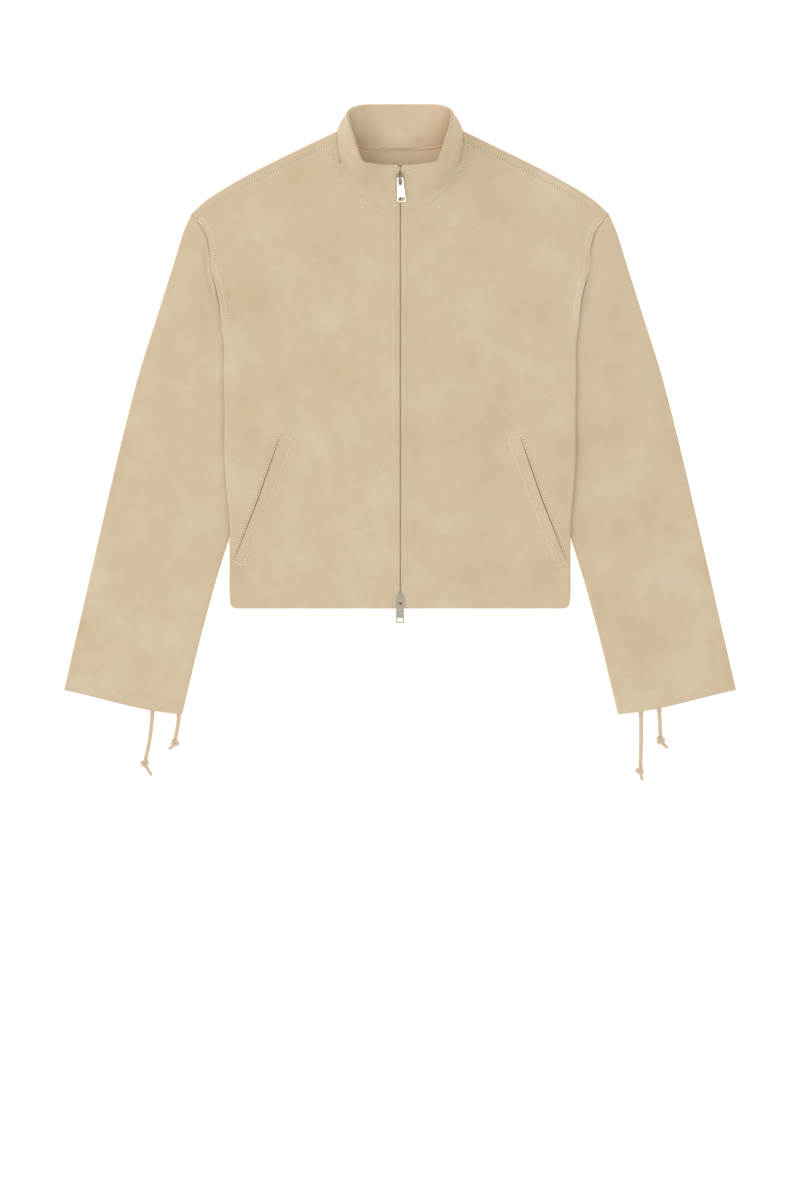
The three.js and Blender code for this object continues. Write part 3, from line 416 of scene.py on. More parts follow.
@dataclass
class Lie:
    """Heights at which the layers of the body lie.

    Attributes:
        under_lift: how far the sleeve under it lifts the body.
        lift_fade, lift_margin: width of that lift's fade and its reach past the sleeve.
        slope_above, slope_below: slopes of the lift's edge past the hidden sleeve.
        neck_rise, neck_fade: rise of the fronts towards the neck seam.
        neck_y, neck_half, neck_depth: centre and half axes of the neck seam's ellipse.
        bend_slope, bend_width: slope of the collar at the zip and the half width of
            the rounded bend in which the fronts go over into it.
        bend_end_y, bend_end_fade: Y at which that bend begins to end, and how soon.
        cover: points of the hidden edge of the sleeve, from the lowest up.
    """

    under_lift: float = 3.8
    lift_fade: float = 30
    lift_margin: float = 12
    slope_above: float = 0.65
    slope_below: float = 0.4
    neck_rise: float = 2.5
    neck_fade: float = 45
    neck_y: float = 330
    neck_half: float = 75.5
    neck_depth: float = 80.7
    bend_slope: float = 0.4
    bend_width: float = 6
    bend_end_y: float = 272
    bend_end_fade: float = 24
    cover: Array = field(init=False)

    def __post_init__(self) -> None:
        """Samples the hidden edge of the sleeve, from its lowest point up."""
        edge = Line(SLEEVE_INNER_ROWS[:SLEEVE_COVER_COUNT]).at(shares(61))
        self.cover = edge[::-1]

    def cover_x(self, y: Array) -> Array:
        """X of the edge of the sleeve that lies under the body."""
        low, high = self.cover[0], self.cover[-1]
        x = np.interp(y, self.cover[:, 1], self.cover[:, 0])
        x = np.where(y >= high[1], high[0] + (y - high[1]) * self.slope_above, x)
        return np.where(y <= low[1], low[0] + (low[1] - y) * self.slope_below, x)

    def lift(self, x: Array, y: Array) -> Array:
        """How far the sleeve under it lifts the body."""
        past = np.abs(x) - self.cover_x(y) + self.lift_margin + self.lift_fade
        return self.under_lift * smooth(past / self.lift_fade)

    def back(self, x: Array, y: Array) -> Array:
        """Height of the middle of the back's cloth."""
        return HALF + self.lift(x, y)

    def front(self, x: Array, y: Array) -> Array:
        """Height of the middle of the fronts' cloth, without its creases."""
        reach = np.hypot(x / self.neck_half, (y - self.neck_y) / self.neck_depth) - 1
        rise = self.neck_rise * (1 - smooth(reach * self.neck_half / self.neck_fade))
        return HALF + SUEDE + HOLLOW + self.lift(x, y) + rise + self.neck_bend(reach * self.neck_half, y)

    def neck_front(self, y: Array) -> Array:
        """How far the neck seam is hidden in a smooth bend: 1 in front, 0 at the sides."""
        return 1 - smooth((y - self.bend_end_y) / self.bend_end_fade)

    def neck_bend(self, away: Array, y: Array) -> Array:
        """Height of the rounded bend at a distance from the neck seam.

        It is the parabola (w - d) squared times the slope over 4 w, which joins two
        slopes smoothly.
        """
        near = np.clip(self.bend_width - np.abs(away), 0, None)
        return self.bend_slope * near**2 / (4 * self.bend_width) * self.neck_front(y)


LIE = Lie()


def grid_quads(rows: int, columns: int, closed: bool = False) -> Array:
    """Quads of a grid of points numbered row by row.

    Args:
        rows, columns: the grid's counts.
        closed: joins each row's end to its start.

    Returns:
        One row of four point numbers for each quad.
    """
    across = columns if closed else columns - 1
    j, i = np.meshgrid(np.arange(rows - 1), np.arange(across), indexing="ij")
    k = (i + 1) % columns
    quads = [j * columns + i, j * columns + k, (j + 1) * columns + k, (j + 1) * columns + i]
    return np.stack([q.ravel() for q in quads], axis=-1)


def normals_of(grid: Array, closed: bool = False) -> Array:
    """Normals of a grid: columns crossed with rows, from the differences of neighbours."""
    if closed:
        across = np.roll(grid, -1, axis=1) - np.roll(grid, 1, axis=1)
    else:
        across = np.gradient(grid, axis=1)
    return unit(np.cross(across, np.gradient(grid, axis=0)))


@dataclass
class Mesh:
    """Points and faces gathered from patches before they become one object.

    Attributes:
        points: arrays of points in millimetres.
        faces: arrays of faces as point numbers, triangles or quads.
        marks: one value a point, for materials to read.
        count: how many points it holds.
    """

    points: list[Array] = field(default_factory=list)
    faces: list[Array] = field(default_factory=list)
    marks: list[Array] = field(default_factory=list)
    count: int = 0

    def add(self, points: Array, faces: Array, marks: Values = 0.0) -> "Mesh":
        """Adds points with the faces between them.

        Args:
            points: their places, in any grid shape.
            faces: point numbers within these points.
            marks: one value, or one for each point.

        Returns:
            This mesh.
        """
        flat = points.reshape(-1, 3)
        self.points.append(flat)
        self.faces.append(faces + self.count)
        self.marks.append(np.broadcast_to(marks, points.shape[:-1]).reshape(-1))
        self.count += len(flat)
        return self

    def add_grid(self, grid: Array, closed: bool = False, marks: Values = 0.0) -> "Mesh":
        """Adds a grid of points as quads."""
        return self.add(grid, grid_quads(grid.shape[0], grid.shape[1], closed), marks)

    def add_wall(self, grid: Array, thickness: Values, closed: bool = False) -> "Mesh":
        """Adds a closed wall: the grid moved out and in by half a thickness, with rims."""
        out = normals_of(grid, closed) * np.asarray(thickness)[..., None] / 2
        rows, columns = grid.shape[:2]
        quads = grid_quads(rows, columns, closed)
        count = rows * columns
        number = np.arange(count).reshape(rows, columns)
        if closed:
            number = np.column_stack([number, number[:, 0]])
            loops = [number[0], number[-1, ::-1]]
        else:
            loops = [np.concatenate([number[0, :-1], number[:-1, -1], number[-1, :0:-1], number[::-1, 0]])]
        rims = [np.stack([a[:-1], a[:-1] + count, a[1:] + count, a[1:]], axis=-1) for a in loops]
        faces = np.vstack([quads, quads[:, ::-1] + count, *rims])
        return self.add(np.concatenate([(grid + out).reshape(-1, 3), (grid - out).reshape(-1, 3)]), faces)

    def build(self, name: str, weld: float = 0.0) -> bpy.types.Object:
        """Makes the object in metres, smooth shaded with sharp borders.

        Args:
            name: the piece's name.
            weld: distance in millimetres within which points become one, or 0.

        Returns:
            The new object.
        """
        points = np.concatenate(self.points) * MM
        marks = np.concatenate(self.marks)
        faces = [face for part in self.faces for face in part.tolist()]
        if weld:
            key = np.round(points / (weld * MM)).astype(np.int64)
            _, first, same = np.unique(key, axis=0, return_index=True, return_inverse=True)
            points, marks, same = points[first], marks[first], same.reshape(-1)
            faces = [list(dict.fromkeys(same[face].tolist())) for face in faces]
            faces = [face for face in faces if len(face) > 2]
        mesh = bpy.data.meshes.new(name)
        mesh.from_pydata(points, [], faces)
        mesh.attributes.new("mark", "FLOAT", "POINT").data.foreach_set("value", marks.astype(np.float32))
        mesh.polygons.foreach_set("use_smooth", np.ones(len(mesh.polygons), bool))
        mesh.update()
        used = np.empty(len(mesh.loops), np.int32)
        mesh.loops.foreach_get("edge_index", used)
        border = np.bincount(used, minlength=len(mesh.edges)) == 1
        mesh.attributes.new("sharp_edge", "BOOLEAN", "EDGE").data.foreach_set("value", border)
        piece = bpy.data.objects.new(name, mesh)
        bpy.context.scene.collection.objects.link(piece)
        return piece


def give_wall(piece: bpy.types.Object, thickness: float = SUEDE) -> bpy.types.Object:
    """Gives a thin surface the thickness of its cloth, half to each side."""
    solidify = piece.modifiers.new("cloth", "SOLIDIFY")
    solidify.thickness = thickness * MM
    solidify.offset = 0
    solidify.use_rim = True
    return piece


def place(
    piece: bpy.types.Object, look: "Look", slot: Slot, nodes: list[str], body: str = "jacket"
) -> bpy.types.Object:
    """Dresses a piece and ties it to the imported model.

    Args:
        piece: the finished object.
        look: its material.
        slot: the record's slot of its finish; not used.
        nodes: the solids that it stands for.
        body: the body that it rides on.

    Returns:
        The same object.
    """
    piece.data.materials.clear()
    piece.data.materials.append(look.material)
    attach(piece, body)
    if nodes:
        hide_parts(*nodes)
    LOG.info("%s: %d faces", piece.name, len(piece.data.polygons))
    return piece


class Nodes:
    """A material's node tree with short ways to add to it."""

    def __init__(self, tree: bpy.types.NodeTree) -> None:
        """Starts on an empty tree."""
        self.tree = tree
        tree.nodes.clear()

    def add(self, kind: str, inputs: dict | None = None, **settings: object) -> bpy.types.Node:
        """Adds a node.

        Args:
            kind: its type without the ShaderNode part.
            inputs: values or sockets for its inputs, by name or number.
            settings: its other properties.

        Returns:
            The node.
        """
        node = self.tree.nodes.new(kind if kind.startswith("Node") else f"ShaderNode{kind}")
        for key, value in settings.items():
            setattr(node, key, value)
        for key, value in (inputs or {}).items():
            if isinstance(value, Socket):
                self.tree.links.new(value, node.inputs[key])
            else:
                node.inputs[key].default_value = value
        return node

    def spot(self) -> Socket:
        """The place on the piece, in its Object coordinates."""
        return self.add("TexCoord").outputs["Object"]

    def noise(
        self, vector: Socket, scale: float, detail: float, roughness: float = 0.5
    ) -> Socket:
        """The value of a noise texture."""
        keys = {"Vector": vector, "Scale": scale, "Detail": detail, "Roughness": roughness}
        return self.add("TexNoise", keys).outputs[0]

    def ramp(
        self, value: Socket, low: float, high: float, to_low: float = 0, to_high: float = 1
    ) -> Socket:
        """A value moved from one range to another, held at its ends."""
        keys = {0: value, 1: low, 2: high, 3: to_low, 4: to_high}
        return self.add("MapRange", keys, interpolation_type="SMOOTHSTEP").outputs[0]

    def blend(self, share: Socket | float, a: object, b: object) -> Socket:
        """A colour between two others."""
        return self.add("Mix", {0: share, 6: a, 7: b}, data_type="RGBA").outputs[2]

    def shaded(self, colour: Socket, shade: Socket) -> Socket:
        """A colour made darker or lighter by a shade around 1."""
        keys = {0: 1.0, 6: colour, 7: shade}
        return self.add("Mix", keys, data_type="RGBA", blend_type="MULTIPLY").outputs[2]

    def math(self, operation: str, a: object, b: object) -> Socket:
        """The result of one sum."""
        return self.add("Math", {0: a, 1: b}, operation=operation).outputs[0]


def rgb(red: float, green: float, blue: float) -> tuple[float, float, float, float]:
    """A colour from 0 to 255 a channel, as linear light."""
    c = np.array([red, green, blue]) / 255
    linear = np.where(c <= 0.04045, c / 12.92, ((c + 0.055) / 1.055) ** 2.4)
    return (*linear.tolist(), 1.0)


def make_group(
    name: str, inputs: dict[str, float | tuple], outputs: dict[str, str]
) -> tuple[bpy.types.NodeTree, Nodes, bpy.types.Node]:
    """Starts a shader group.

    Args:
        name: the group's name.
        inputs: names and first values of its inputs, colours as tuples.
        outputs: names and socket types of its outputs.

    Returns:
        The group, its node helper and its input node.
    """
    tree = bpy.data.node_groups.new(name, "ShaderNodeTree")
    nodes = Nodes(tree)
    for key, value in inputs.items():
        kind = "NodeSocketColor" if isinstance(value, tuple) else "NodeSocketFloat"
        tree.interface.new_socket(key, in_out="INPUT", socket_type=kind).default_value = value
    for key, kind in outputs.items():
        tree.interface.new_socket(key, in_out="OUTPUT", socket_type=kind)
    return tree, nodes, nodes.add("NodeGroupInput")


class Effects:
    """The shader groups that several finishes share, built once.

    Scales of noise are repeats over a metre; ramps map a noise's range to a share.
    """

    def __init__(self) -> None:
        """Builds the groups."""
        self.patches = self.make_patches()
        self.nap = self.make_nap()

    def make_patches(self) -> bpy.types.NodeTree:
        """Soft patches of two tints over a base colour, at two scales."""
        grey = (0.5, 0.5, 0.5, 1.0)
        start = {"Base": grey, "Warm": grey, "Cool": grey, "Amount": 0.6}
        tree, nodes, given = make_group("suede_patches", start, {"Color": "NodeSocketColor"})
        spot = nodes.spot()
        wide = nodes.noise(spot, 13.0, 4.0, 0.55)
        small = nodes.noise(spot, 62.0, 4.0, 0.6)
        warm = nodes.math("MULTIPLY", nodes.ramp(wide, 0.5, 0.68), given.outputs["Amount"])
        cool = nodes.math("MULTIPLY", nodes.ramp(wide, 0.5, 0.32), given.outputs["Amount"])
        colour = nodes.blend(warm, given.outputs["Base"], given.outputs["Warm"])
        colour = nodes.blend(cool, colour, given.outputs["Cool"])
        shade = nodes.ramp(small, 0.3, 0.7, 0.978, 1.022)
        nodes.add("NodeGroupOutput", {0: nodes.shaded(colour, shade)})
        return tree

    def make_nap(self) -> bpy.types.NodeTree:
        """The short nap of suede: a fine grain and brushed streaks, as shade and height."""
        start = {"Depth": 1.0}
        ends = {"Shade": "NodeSocketFloat", "Height": "NodeSocketFloat"}
        tree, nodes, given = make_group("suede_nap", start, ends)
        spot = nodes.spot()
        keys = {"Vector": spot, "Rotation": (0, 0, 0.35), "Scale": (1.0, 0.45, 1.0)}
        brushed = nodes.add("Mapping", keys).outputs[0]
        fine = nodes.noise(spot, 3000.0, 2.0, 0.6)
        fibre = nodes.noise(brushed, 1300.0, 3.0, 0.65)
        both = nodes.add("Mix", {0: 0.5, 2: fine, 3: fibre}, data_type="FLOAT").outputs[0]
        shade = nodes.ramp(both, 0.32, 0.68, 0.94, 1.06)
        height = nodes.math("MULTIPLY", both, given.outputs["Depth"])
        nodes.add("NodeGroupOutput", {0: shade, 1: height})
        return tree


EFFECTS = Effects()


class Look:
    """A finish that owns one material."""

    def __init__(self, name: str) -> None:
        """Starts the material and its shader."""
        self.material = bpy.data.materials.new(name)
        self.material.use_nodes = True
        self.nodes = Nodes(self.material.node_tree)
        self.shader = self.nodes.add("BsdfPrincipled")
        self.nodes.add("OutputMaterial", {0: self.shader.outputs[0]})

    def feed(self, **sockets: object) -> None:
        """Sets or links inputs of the shader; an underscore stands for a space."""
        for key, value in sockets.items():
            socket = self.shader.inputs[key.replace("_", " ")]
            if isinstance(value, Socket):
                self.nodes.tree.links.new(value, socket)
            else:
                socket.default_value = value

    def bump(self, height: Socket, distance: float, strength: float = 1.0) -> None:
        """Feeds the shader's normal from a height in millimetres."""
        keys = {"Height": height, "Distance": distance * MM, "Strength": strength}
        self.feed(Normal=self.nodes.add("Bump", keys).outputs[0])


@dataclass(frozen=True)
class SuedeFinish:
    """Soft matt suede with a short nap and faint patches of two tints.

    Attributes:
        name: the material's name.
        base, warm, cool: its colour and the tints of its patches, 0 to 255.
        sheen: strength of the nap's sheen.
        amount: how strongly the patches show.
    """

    name: str
    base: Triple = (213, 193, 162)
    warm: Triple = (207, 182, 148)
    cool: Triple = (219, 204, 175)
    sheen: float = 0.12
    amount: float = 0.55

    def look(self) -> Look:
        """Makes the material."""
        look = Look(self.name)
        tints = {"Base": rgb(*self.base), "Warm": rgb(*self.warm), "Cool": rgb(*self.cool)}
        patches = look.nodes.add("Group", node_tree=EFFECTS.patches)
        nap = look.nodes.add("Group", node_tree=EFFECTS.nap)
        for key, value in {**tints, "Amount": self.amount}.items():
            patches.inputs[key].default_value = value
        colour = look.nodes.shaded(patches.outputs[0], nap.outputs["Shade"])
        look.feed(Base_Color=colour, Roughness=0.93, Sheen_Weight=self.sheen, Sheen_Roughness=0.5)
        look.feed(Specular_IOR_Level=0.12)
        look.bump(nap.outputs["Height"], 0.4, 0.6)
        return look


@dataclass(frozen=True)
class ThreadFinish:
    """Sewing thread, a little lighter than the suede, darker at its ends: painted shade where it goes into
    the cloth.

    Attributes:
        name: the material's name.
        light, dark: its colour in the middle of a stitch, and the painted shade at its ends.
    """

    name: str = "thread_cream"
    light: Triple = (250, 239, 217)
    dark: Triple = (160, 133, 98)

    def look(self) -> Look:
        """Makes the material; the mark is 0 in a stitch's middle and 1 at its ends, which take the painted
        shade.
        """
        look = Look(self.name)
        mark = look.nodes.add("Attribute", attribute_name="mark").outputs["Fac"]
        # The ends of each stitch take the dark colour: painted shade where the thread goes into the cloth.
        end = look.nodes.ramp(mark, 0.78, 1.0)
        grain = look.nodes.noise(look.nodes.spot(), 2600.0, 2.0)
        colour = look.nodes.blend(end, rgb(*self.light), rgb(*self.dark))
        look.feed(Base_Color=colour, Roughness=0.7, Specular_IOR_Level=0.3)
        look.bump(grain, 0.15, 0.4)
        return look


@dataclass(frozen=True)
class TapeFinish:
    """Woven zip tape in fine diagonal ribs, coloured dark brown as painted shade of the narrow gap between
    the teeth.

    Attributes:
        name: the material's name.
        light, dark: its colour on the ribs and between them, both darkened as painted shade.
    """

    name: str = "tape_painted_gap_shade"
    light: Triple = (108, 86, 58)
    dark: Triple = (74, 56, 37)

    def look(self) -> Look:
        """Makes the material; the ribs are waves of Object coordinates."""
        look = Look(self.name)
        keys = {"Vector": look.nodes.spot(), "Scale": 420.0, "Distortion": 1.0, "Detail": 1.0}
        rib = look.nodes.add("TexWave", keys, bands_direction="DIAGONAL").outputs["Fac"]
        look.feed(Base_Color=look.nodes.blend(rib, rgb(*self.dark), rgb(*self.light)), Roughness=0.85)
        look.bump(rib, 0.2, 0.5)
        return look


@dataclass(frozen=True)
class MetalFinish:
    """Plated metal with small tarnish and fine scratches.

    Attributes:
        name: the material's name.
        bright, dull: its colour where it is clean and where it is tarnished.
        polish, worn: its roughness between the scratches and in them.
    """

    name: str
    bright: Triple
    dull: Triple
    polish: float
    worn: float

    def look(self) -> Look:
        """Makes the material; noise moves its colour and its roughness."""
        look = Look(self.name)
        spot = look.nodes.spot()
        cloud = look.nodes.noise(spot, 260.0, 4.0)
        streak = look.nodes.add("Mapping", {"Vector": spot, "Scale": (1.0, 0.12, 1.0)}).outputs[0]
        scratch = look.nodes.noise(streak, 2400.0, 2.0)
        share = look.nodes.ramp(cloud, 0.5, 0.85)
        look.feed(Base_Color=look.nodes.blend(share, rgb(*self.bright), rgb(*self.dull)), Metallic=1.0)
        look.feed(Roughness=look.nodes.ramp(scratch, 0.3, 0.75, self.polish, self.worn))
        look.bump(scratch, 0.02, 0.3)
        return look


@dataclass(frozen=True)
class BraidFinish:
    """Braided beige cord; the mark is 0 in the gaps between strands and 1 on them, and the gaps take a dark
    colour as painted shade.

    Attributes:
        name: the material's name.
        light, gap: its colour on the strands, and the painted shade between them.
    """

    name: str = "braid_tan"
    light: Triple = (230, 209, 182)
    gap: Triple = (106, 82, 58)

    def look(self) -> Look:
        """Makes the material."""
        look = Look(self.name)
        mark = look.nodes.add("Attribute", attribute_name="mark").outputs["Fac"]
        fibre = look.nodes.noise(look.nodes.spot(), 1800.0, 3.0)
        strand = look.nodes.ramp(mark, 0.3, 0.78)
        # The gaps between strands are darkened: painted shade.
        colour = look.nodes.blend(strand, rgb(*self.gap), rgb(*self.light))
        look.feed(Base_Color=look.nodes.shaded(colour, look.nodes.ramp(fibre, 0.3, 0.7, 0.9, 1.1)))
        look.feed(Roughness=0.85, Sheen_Weight=0.15, Specular_IOR_Level=0.2)
        look.bump(fibre, 0.25, 0.5)
        return look


@dataclass(frozen=True)
class Looks:
    """Every finish of the jacket.

    Attributes:
        suede, inside: the suede outside and inside the collar; the inside is a lighter copy, painted light
            against the shade inside the collar.
        thread, hole: the topstitching, with painted shade at its stitches' ends, and the dark discs of
            painted shade at each needle hole.
        mouth_shade: a dark suede strip along each pocket's mouth, painted shade of its opening.
        tape, teeth: the zip's tapes, darkened as painted shade between the teeth, and the teeth.
        bright, shade: the upper pull, and the upper slider in a darker copy of the bright metal, painted
            shade under the pull.
        nickel: the lower slider and pull.
        braid: the drawcords and their knots, with painted shade between the strands.
    """

    suede: Look
    inside: Look
    thread: Look
    hole: Look
    mouth_shade: Look
    tape: Look
    bright: Look
    shade: Look
    nickel: Look
    teeth: Look
    braid: Look


def make_looks() -> Looks:
    """Makes every finish once."""
    return Looks(
        suede=SuedeFinish("suede_beige").look(),
        # A lighter copy of the suede for the collar's inside and the facing: painted light against their
        # shade.
        inside=SuedeFinish("suede_inside", (221, 199, 168), (216, 192, 159), (224, 206, 176)).look(),
        thread=ThreadFinish().look(),
        # Dark suede for the discs at each needle hole: painted shade.
        hole=SuedeFinish("needle_hole_shade", (104, 80, 54), (104, 78, 52), (100, 80, 54)).look(),
        # A dark suede strip along each pocket's mouth: painted shade of its opening.
        mouth_shade=SuedeFinish("pocket_shade", (140, 113, 82), (142, 112, 80), (136, 112, 82)).look(),
        # The tapes are darkened: painted shade of the gap between the teeth.
        tape=TapeFinish().look(),
        bright=MetalFinish("metal_polished", (248, 246, 242), (234, 230, 223), 0.1, 0.24).look(),
        # A darker copy of the bright metal for the upper slider: painted shade under the pull.
        shade=MetalFinish("metal_shaded", (150, 140, 126), (112, 102, 88), 0.25, 0.42).look(),
        nickel=MetalFinish("metal_nickel", (196, 187, 170), (164, 153, 134), 0.2, 0.36).look(),
        teeth=MetalFinish("metal_teeth", (252, 232, 198), (222, 196, 156), 0.22, 0.4).look(),
        braid=BraidFinish().look(),
    )


@dataclass
class Body:
    """The back and the two fronts.

    Attributes:
        side_turn, turn_columns: width of the rounded turn at the side seams, and its
            columns.
        turn_end_y, turn_end_fade: height where that turn opens out into the armhole.
        setback: distance of the shoulder seam from the fold.
        neck_slope: narrowing of the strip over the shoulder at the neck.
        neck_end: angle of the front neck seam's end.
        hem_split, hem_spread: spacing of the columns along the hem.
        neck_columns, neck_crowding: columns along the neck and their spacing.
        shoulder_columns, side_count, armhole_count: points along the shoulder, up the
            side seam and down the armhole.
        corner_share, corner_count: share of the side seam at the hem's rounded corner
            and its closer points.
        edge_steps: distances of the rows beside a sewn edge.
        first_stop: distance of the first even row from the shoulder seam.
        wrap_rows: rows round the shoulder fold.
        strip_step, strip_rows: distance from the seam at which the strip's even rows
            end, and their number.
        fold: distance of the layers' folds inside the outline.
        ditch_depth, ditch_width: the shallow ditch along a sewn edge.
        crease_gain: how strongly the table's creases show.
        allowance_rise, allowance_width, allowance_fade: size of the ridge over the
            armhole's seam allowance and width of its edge.
        allowance_top, allowance_foot: start below the shoulder tip and length of its
            upper end; length of its lower end.
        calm_x, calm_fade: distance from the zip at which creases begin.
        placket_rise, placket_x, placket_fade: height of the folded front edge and
            place and width of its step.
        groove_depth, groove_x, groove_width: the groove along its topstitching.
        flat_front, front_area, flat_back, back_area: sizes of the cut, in metres.
    """

    side_turn: float = 2.4
    turn_end_y: float = 96
    turn_end_fade: float = 34
    setback: float = 9.2
    neck_slope: float = 0.02
    neck_end: float = np.radians(-3.6)
    hem_split: float = 80
    hem_spread: float = 1.25
    neck_columns: int = 44
    neck_crowding: float = 1.35
    shoulder_columns: int = 52
    turn_columns: int = 5
    side_count: int = 128
    armhole_count: int = 56
    fold: float = (HOLLOW + SUEDE) / 2 + HALF
    ditch_depth: float = 0.36
    ditch_width: float = 1.7
    crease_gain: float = 2.0
    allowance_rise: float = 0.85
    allowance_width: float = 5.2
    allowance_fade: float = 3
    allowance_top: Pair = (4, 16)
    allowance_foot: float = 20
    corner_share: float = 0.04
    corner_count: int = 9
    edge_steps: tuple[float, ...] = (0, 0.6, 1.3, 2.2, 3.4, 4.9)
    first_stop: float = 6.5
    wrap_rows: int = 10
    strip_step: float = 3.2
    strip_rows: int = 4
    calm_x: float = 9
    calm_fade: float = 12
    placket_rise: float = 0.45
    placket_x: float = 6.6
    placket_fade: float = 2.6
    groove_depth: float = 0.3
    groove_x: float = 7.6
    groove_width: float = 1.5
    flat_front: Pair = (0.243, 0.565)
    front_area: float = 0.11
    flat_back: Pair = (0.506, 0.592)
    back_area: float = 0.238

    def __post_init__(self) -> None:
        """Makes the curves of the outline."""
        self.side = Line(SIDE_ROWS)
        self.armhole = Line(ARMHOLE_ROWS)
        self.shoulder = Line(SHOULDER_ROWS)
        self.back_neck = Line(BACK_NECK_ROWS)

    def ditch(self, away: Values) -> Array:
        """Depth of a sewn edge's ditch at a distance from the edge: half a bell curve."""
        return self.ditch_depth * np.exp(-((np.asarray(away, float) / self.ditch_width) ** 2))

    def allowance(self, away: Array, y: Array) -> Array:
        """Rise of a front over the seam allowance that is turned to its side.

        Args:
            away: distance from the armhole seam.
            y: Y of the points.

        Returns:
            The rise, which fades out towards the shoulder and the underarm.
        """
        start, fade = self.allowance_top
        ends = smooth((SHOULDER_ROWS[-1][1] - start - y) / fade)
        ends = ends * smooth((y - SIDE_ROWS[-1][1]) / self.allowance_foot)
        return self.allowance_rise * (1 - smooth((away - self.allowance_width) / self.allowance_fade)) * ends

    def armhole_point(self, length: Array, out: float) -> Array:
        """Points of the armhole seam at lengths down it, moved out from the body."""
        u = np.minimum(1, np.asarray(length) / self.armhole.length)
        return self.armhole.at(u) - self.armhole.right(u) * out

    def shoulder_point(self, w: Array, inset: float) -> Array:
        """Points of the shoulder, w from neck to tip and `inset` down from the fold.

        The fold's curve moved inwards, plus corrections at both ends that fade along
        it, so that it starts on the neck's edge and ends on the armhole.
        """
        w = np.asarray(w, float)
        neck = np.array([LIE.neck_half - self.neck_slope * inset + SEAM_JOIN, SHOULDER_ROWS[0][1] - inset, 0])
        ends = self.shoulder.at([0, 1]) + self.shoulder.right([0, 1]) * inset
        line = self.shoulder.at(w) + self.shoulder.right(w) * inset
        tip = self.armhole_point(inset, -SEAM_JOIN / 2)
        return line + (neck - ends[0]) * (1 - w)[..., None] + (tip - ends[1]) * w[..., None]

    def front_neck(self, t: Array, out: float) -> Array:
        """Points of the front neck seam: an ellipse's arc widened by `out`."""
        start = -np.arccos(FRONT_EDGE_X / LIE.neck_half)
        angle = mix(start, self.neck_end, np.asarray(t, float))
        x = (LIE.neck_half + out) * np.cos(angle)
        y = LIE.neck_y + (LIE.neck_depth + out) * np.sin(angle)
        return np.stack([np.maximum(x, FRONT_EDGE_X), y, 0 * x], axis=-1)

    def side_rows(self, stops: Array) -> tuple[Array, Array, Array]:
        """Rows up the side seam and then up the armhole.

        Args:
            stops: lengths down the armhole, from the shoulder.

        Returns:
            Points of the seam, the level directions out of the body, and how far the
            cloth turns there, from 0 to 1.
        """
        corner = np.linspace(0, self.corner_share, self.corner_count)[:-1]
        u = np.concatenate([corner, np.linspace(self.corner_share, 1, self.side_count)[:-1]])
        out = self.side.right(u)
        down = stops[::-1]
        up = self.armhole_point(down, -SEAM_JOIN / 2)
        away = -self.armhole.right(np.minimum(1, down / self.armhole.length))
        turn = 1 - smooth((up[:, 1] - self.turn_end_y) / self.turn_end_fade)
        points = np.vstack([self.side.at(u) - out * HALF, up])
        return points, np.vstack([out, away]), np.concatenate([np.ones(len(u)), turn])

    def panel(
        self, centre_x: float, neck: Array, shoulder: Array, stops: Array, height: Height, turn_sign: int
    ) -> Array:
        """One half of a body panel with the turned columns of its side seam.

        Its last columns follow a quarter of an ellipse towards the other layer.

        Args:
            centre_x: X of its front or middle edge.
            neck, shoulder: points of its top edge.
            stops: lengths down the armhole of its rows.
            height: function of X and Y that gives its height.
            turn_sign: 1 turns the side up, -1 down.

        Returns:
            Its grid of points, rows from the hem up.
        """
        seam, out, turn = self.side_rows(stops)
        right = seam - out * self.side_turn
        top = np.vstack([neck, shoulder])
        top[-1] = right[-1]
        share = shares(self.neck_columns + 1) ** self.neck_crowding
        rest = 1 - (1 - shares(len(shoulder) + 1)[1:]) ** self.hem_spread
        x = np.concatenate([mix(centre_x, self.hem_split, share), mix(self.hem_split, right[0, 0], rest)])
        bottom = np.stack([x, np.full(len(x), HEM_Y), 0 * x], axis=-1)
        up = (seam[:, 1] - seam[0, 1]) / (seam[-1, 1] - seam[0, 1])
        left = np.stack([mix(centre_x, top[0, 0], up), mix(HEM_Y, top[0, 1], up), 0 * up], axis=-1)
        right[0, 1] = left[0, 1] = HEM_Y
        u = ((bottom[:, 0] - bottom[0, 0]) / (bottom[-1, 0] - bottom[0, 0]))[None, :, None]
        v = ((left[:, 1] - left[0, 1]) / (left[-1, 1] - left[0, 1]))[:, None, None]
        grid = fill(bottom, top, left, right, u, v)
        grid[..., 2] = height(grid[..., 0], grid[..., 1])
        if turn_sign < 0:
            from_top = np.linalg.norm(grid - grid[-1], axis=-1)
            from_side = np.linalg.norm(grid - grid[:, -1:], axis=-1) + self.side_turn
            sewn = (1 - turn)[:, None]
            on_top = self.ditch(from_top) * (1 - LIE.neck_front(grid[-1, :, 1]))
            grid[..., 2] += self.allowance(from_side, grid[:, -1:, 1]) * sewn - on_top
        angle = np.linspace(0, np.pi / 2, self.turn_columns + 1)[1:, None]
        turned = seam[:, None] - out[:, None] * self.side_turn * (1 - np.sin(angle))
        half_gap = (HOLLOW + SUEDE - SEAM_GAP) / 2
        bend = turn_sign * half_gap * turn[:, None] * (1 - np.cos(angle[:, 0]))
        turned[..., 2] = grid[:, -1:, 2] + bend
        if turn_sign < 0:
            rise = self.allowance(0 * turned[..., 1], turned[..., 1])
            had = self.allowance(0 * grid[:, -1:, 1] + self.side_turn, grid[:, -1:, 1])
            turned[..., 2] += (rise - had) * (1 - turn)[:, None]
        return np.concatenate([grid, turned], axis=1)

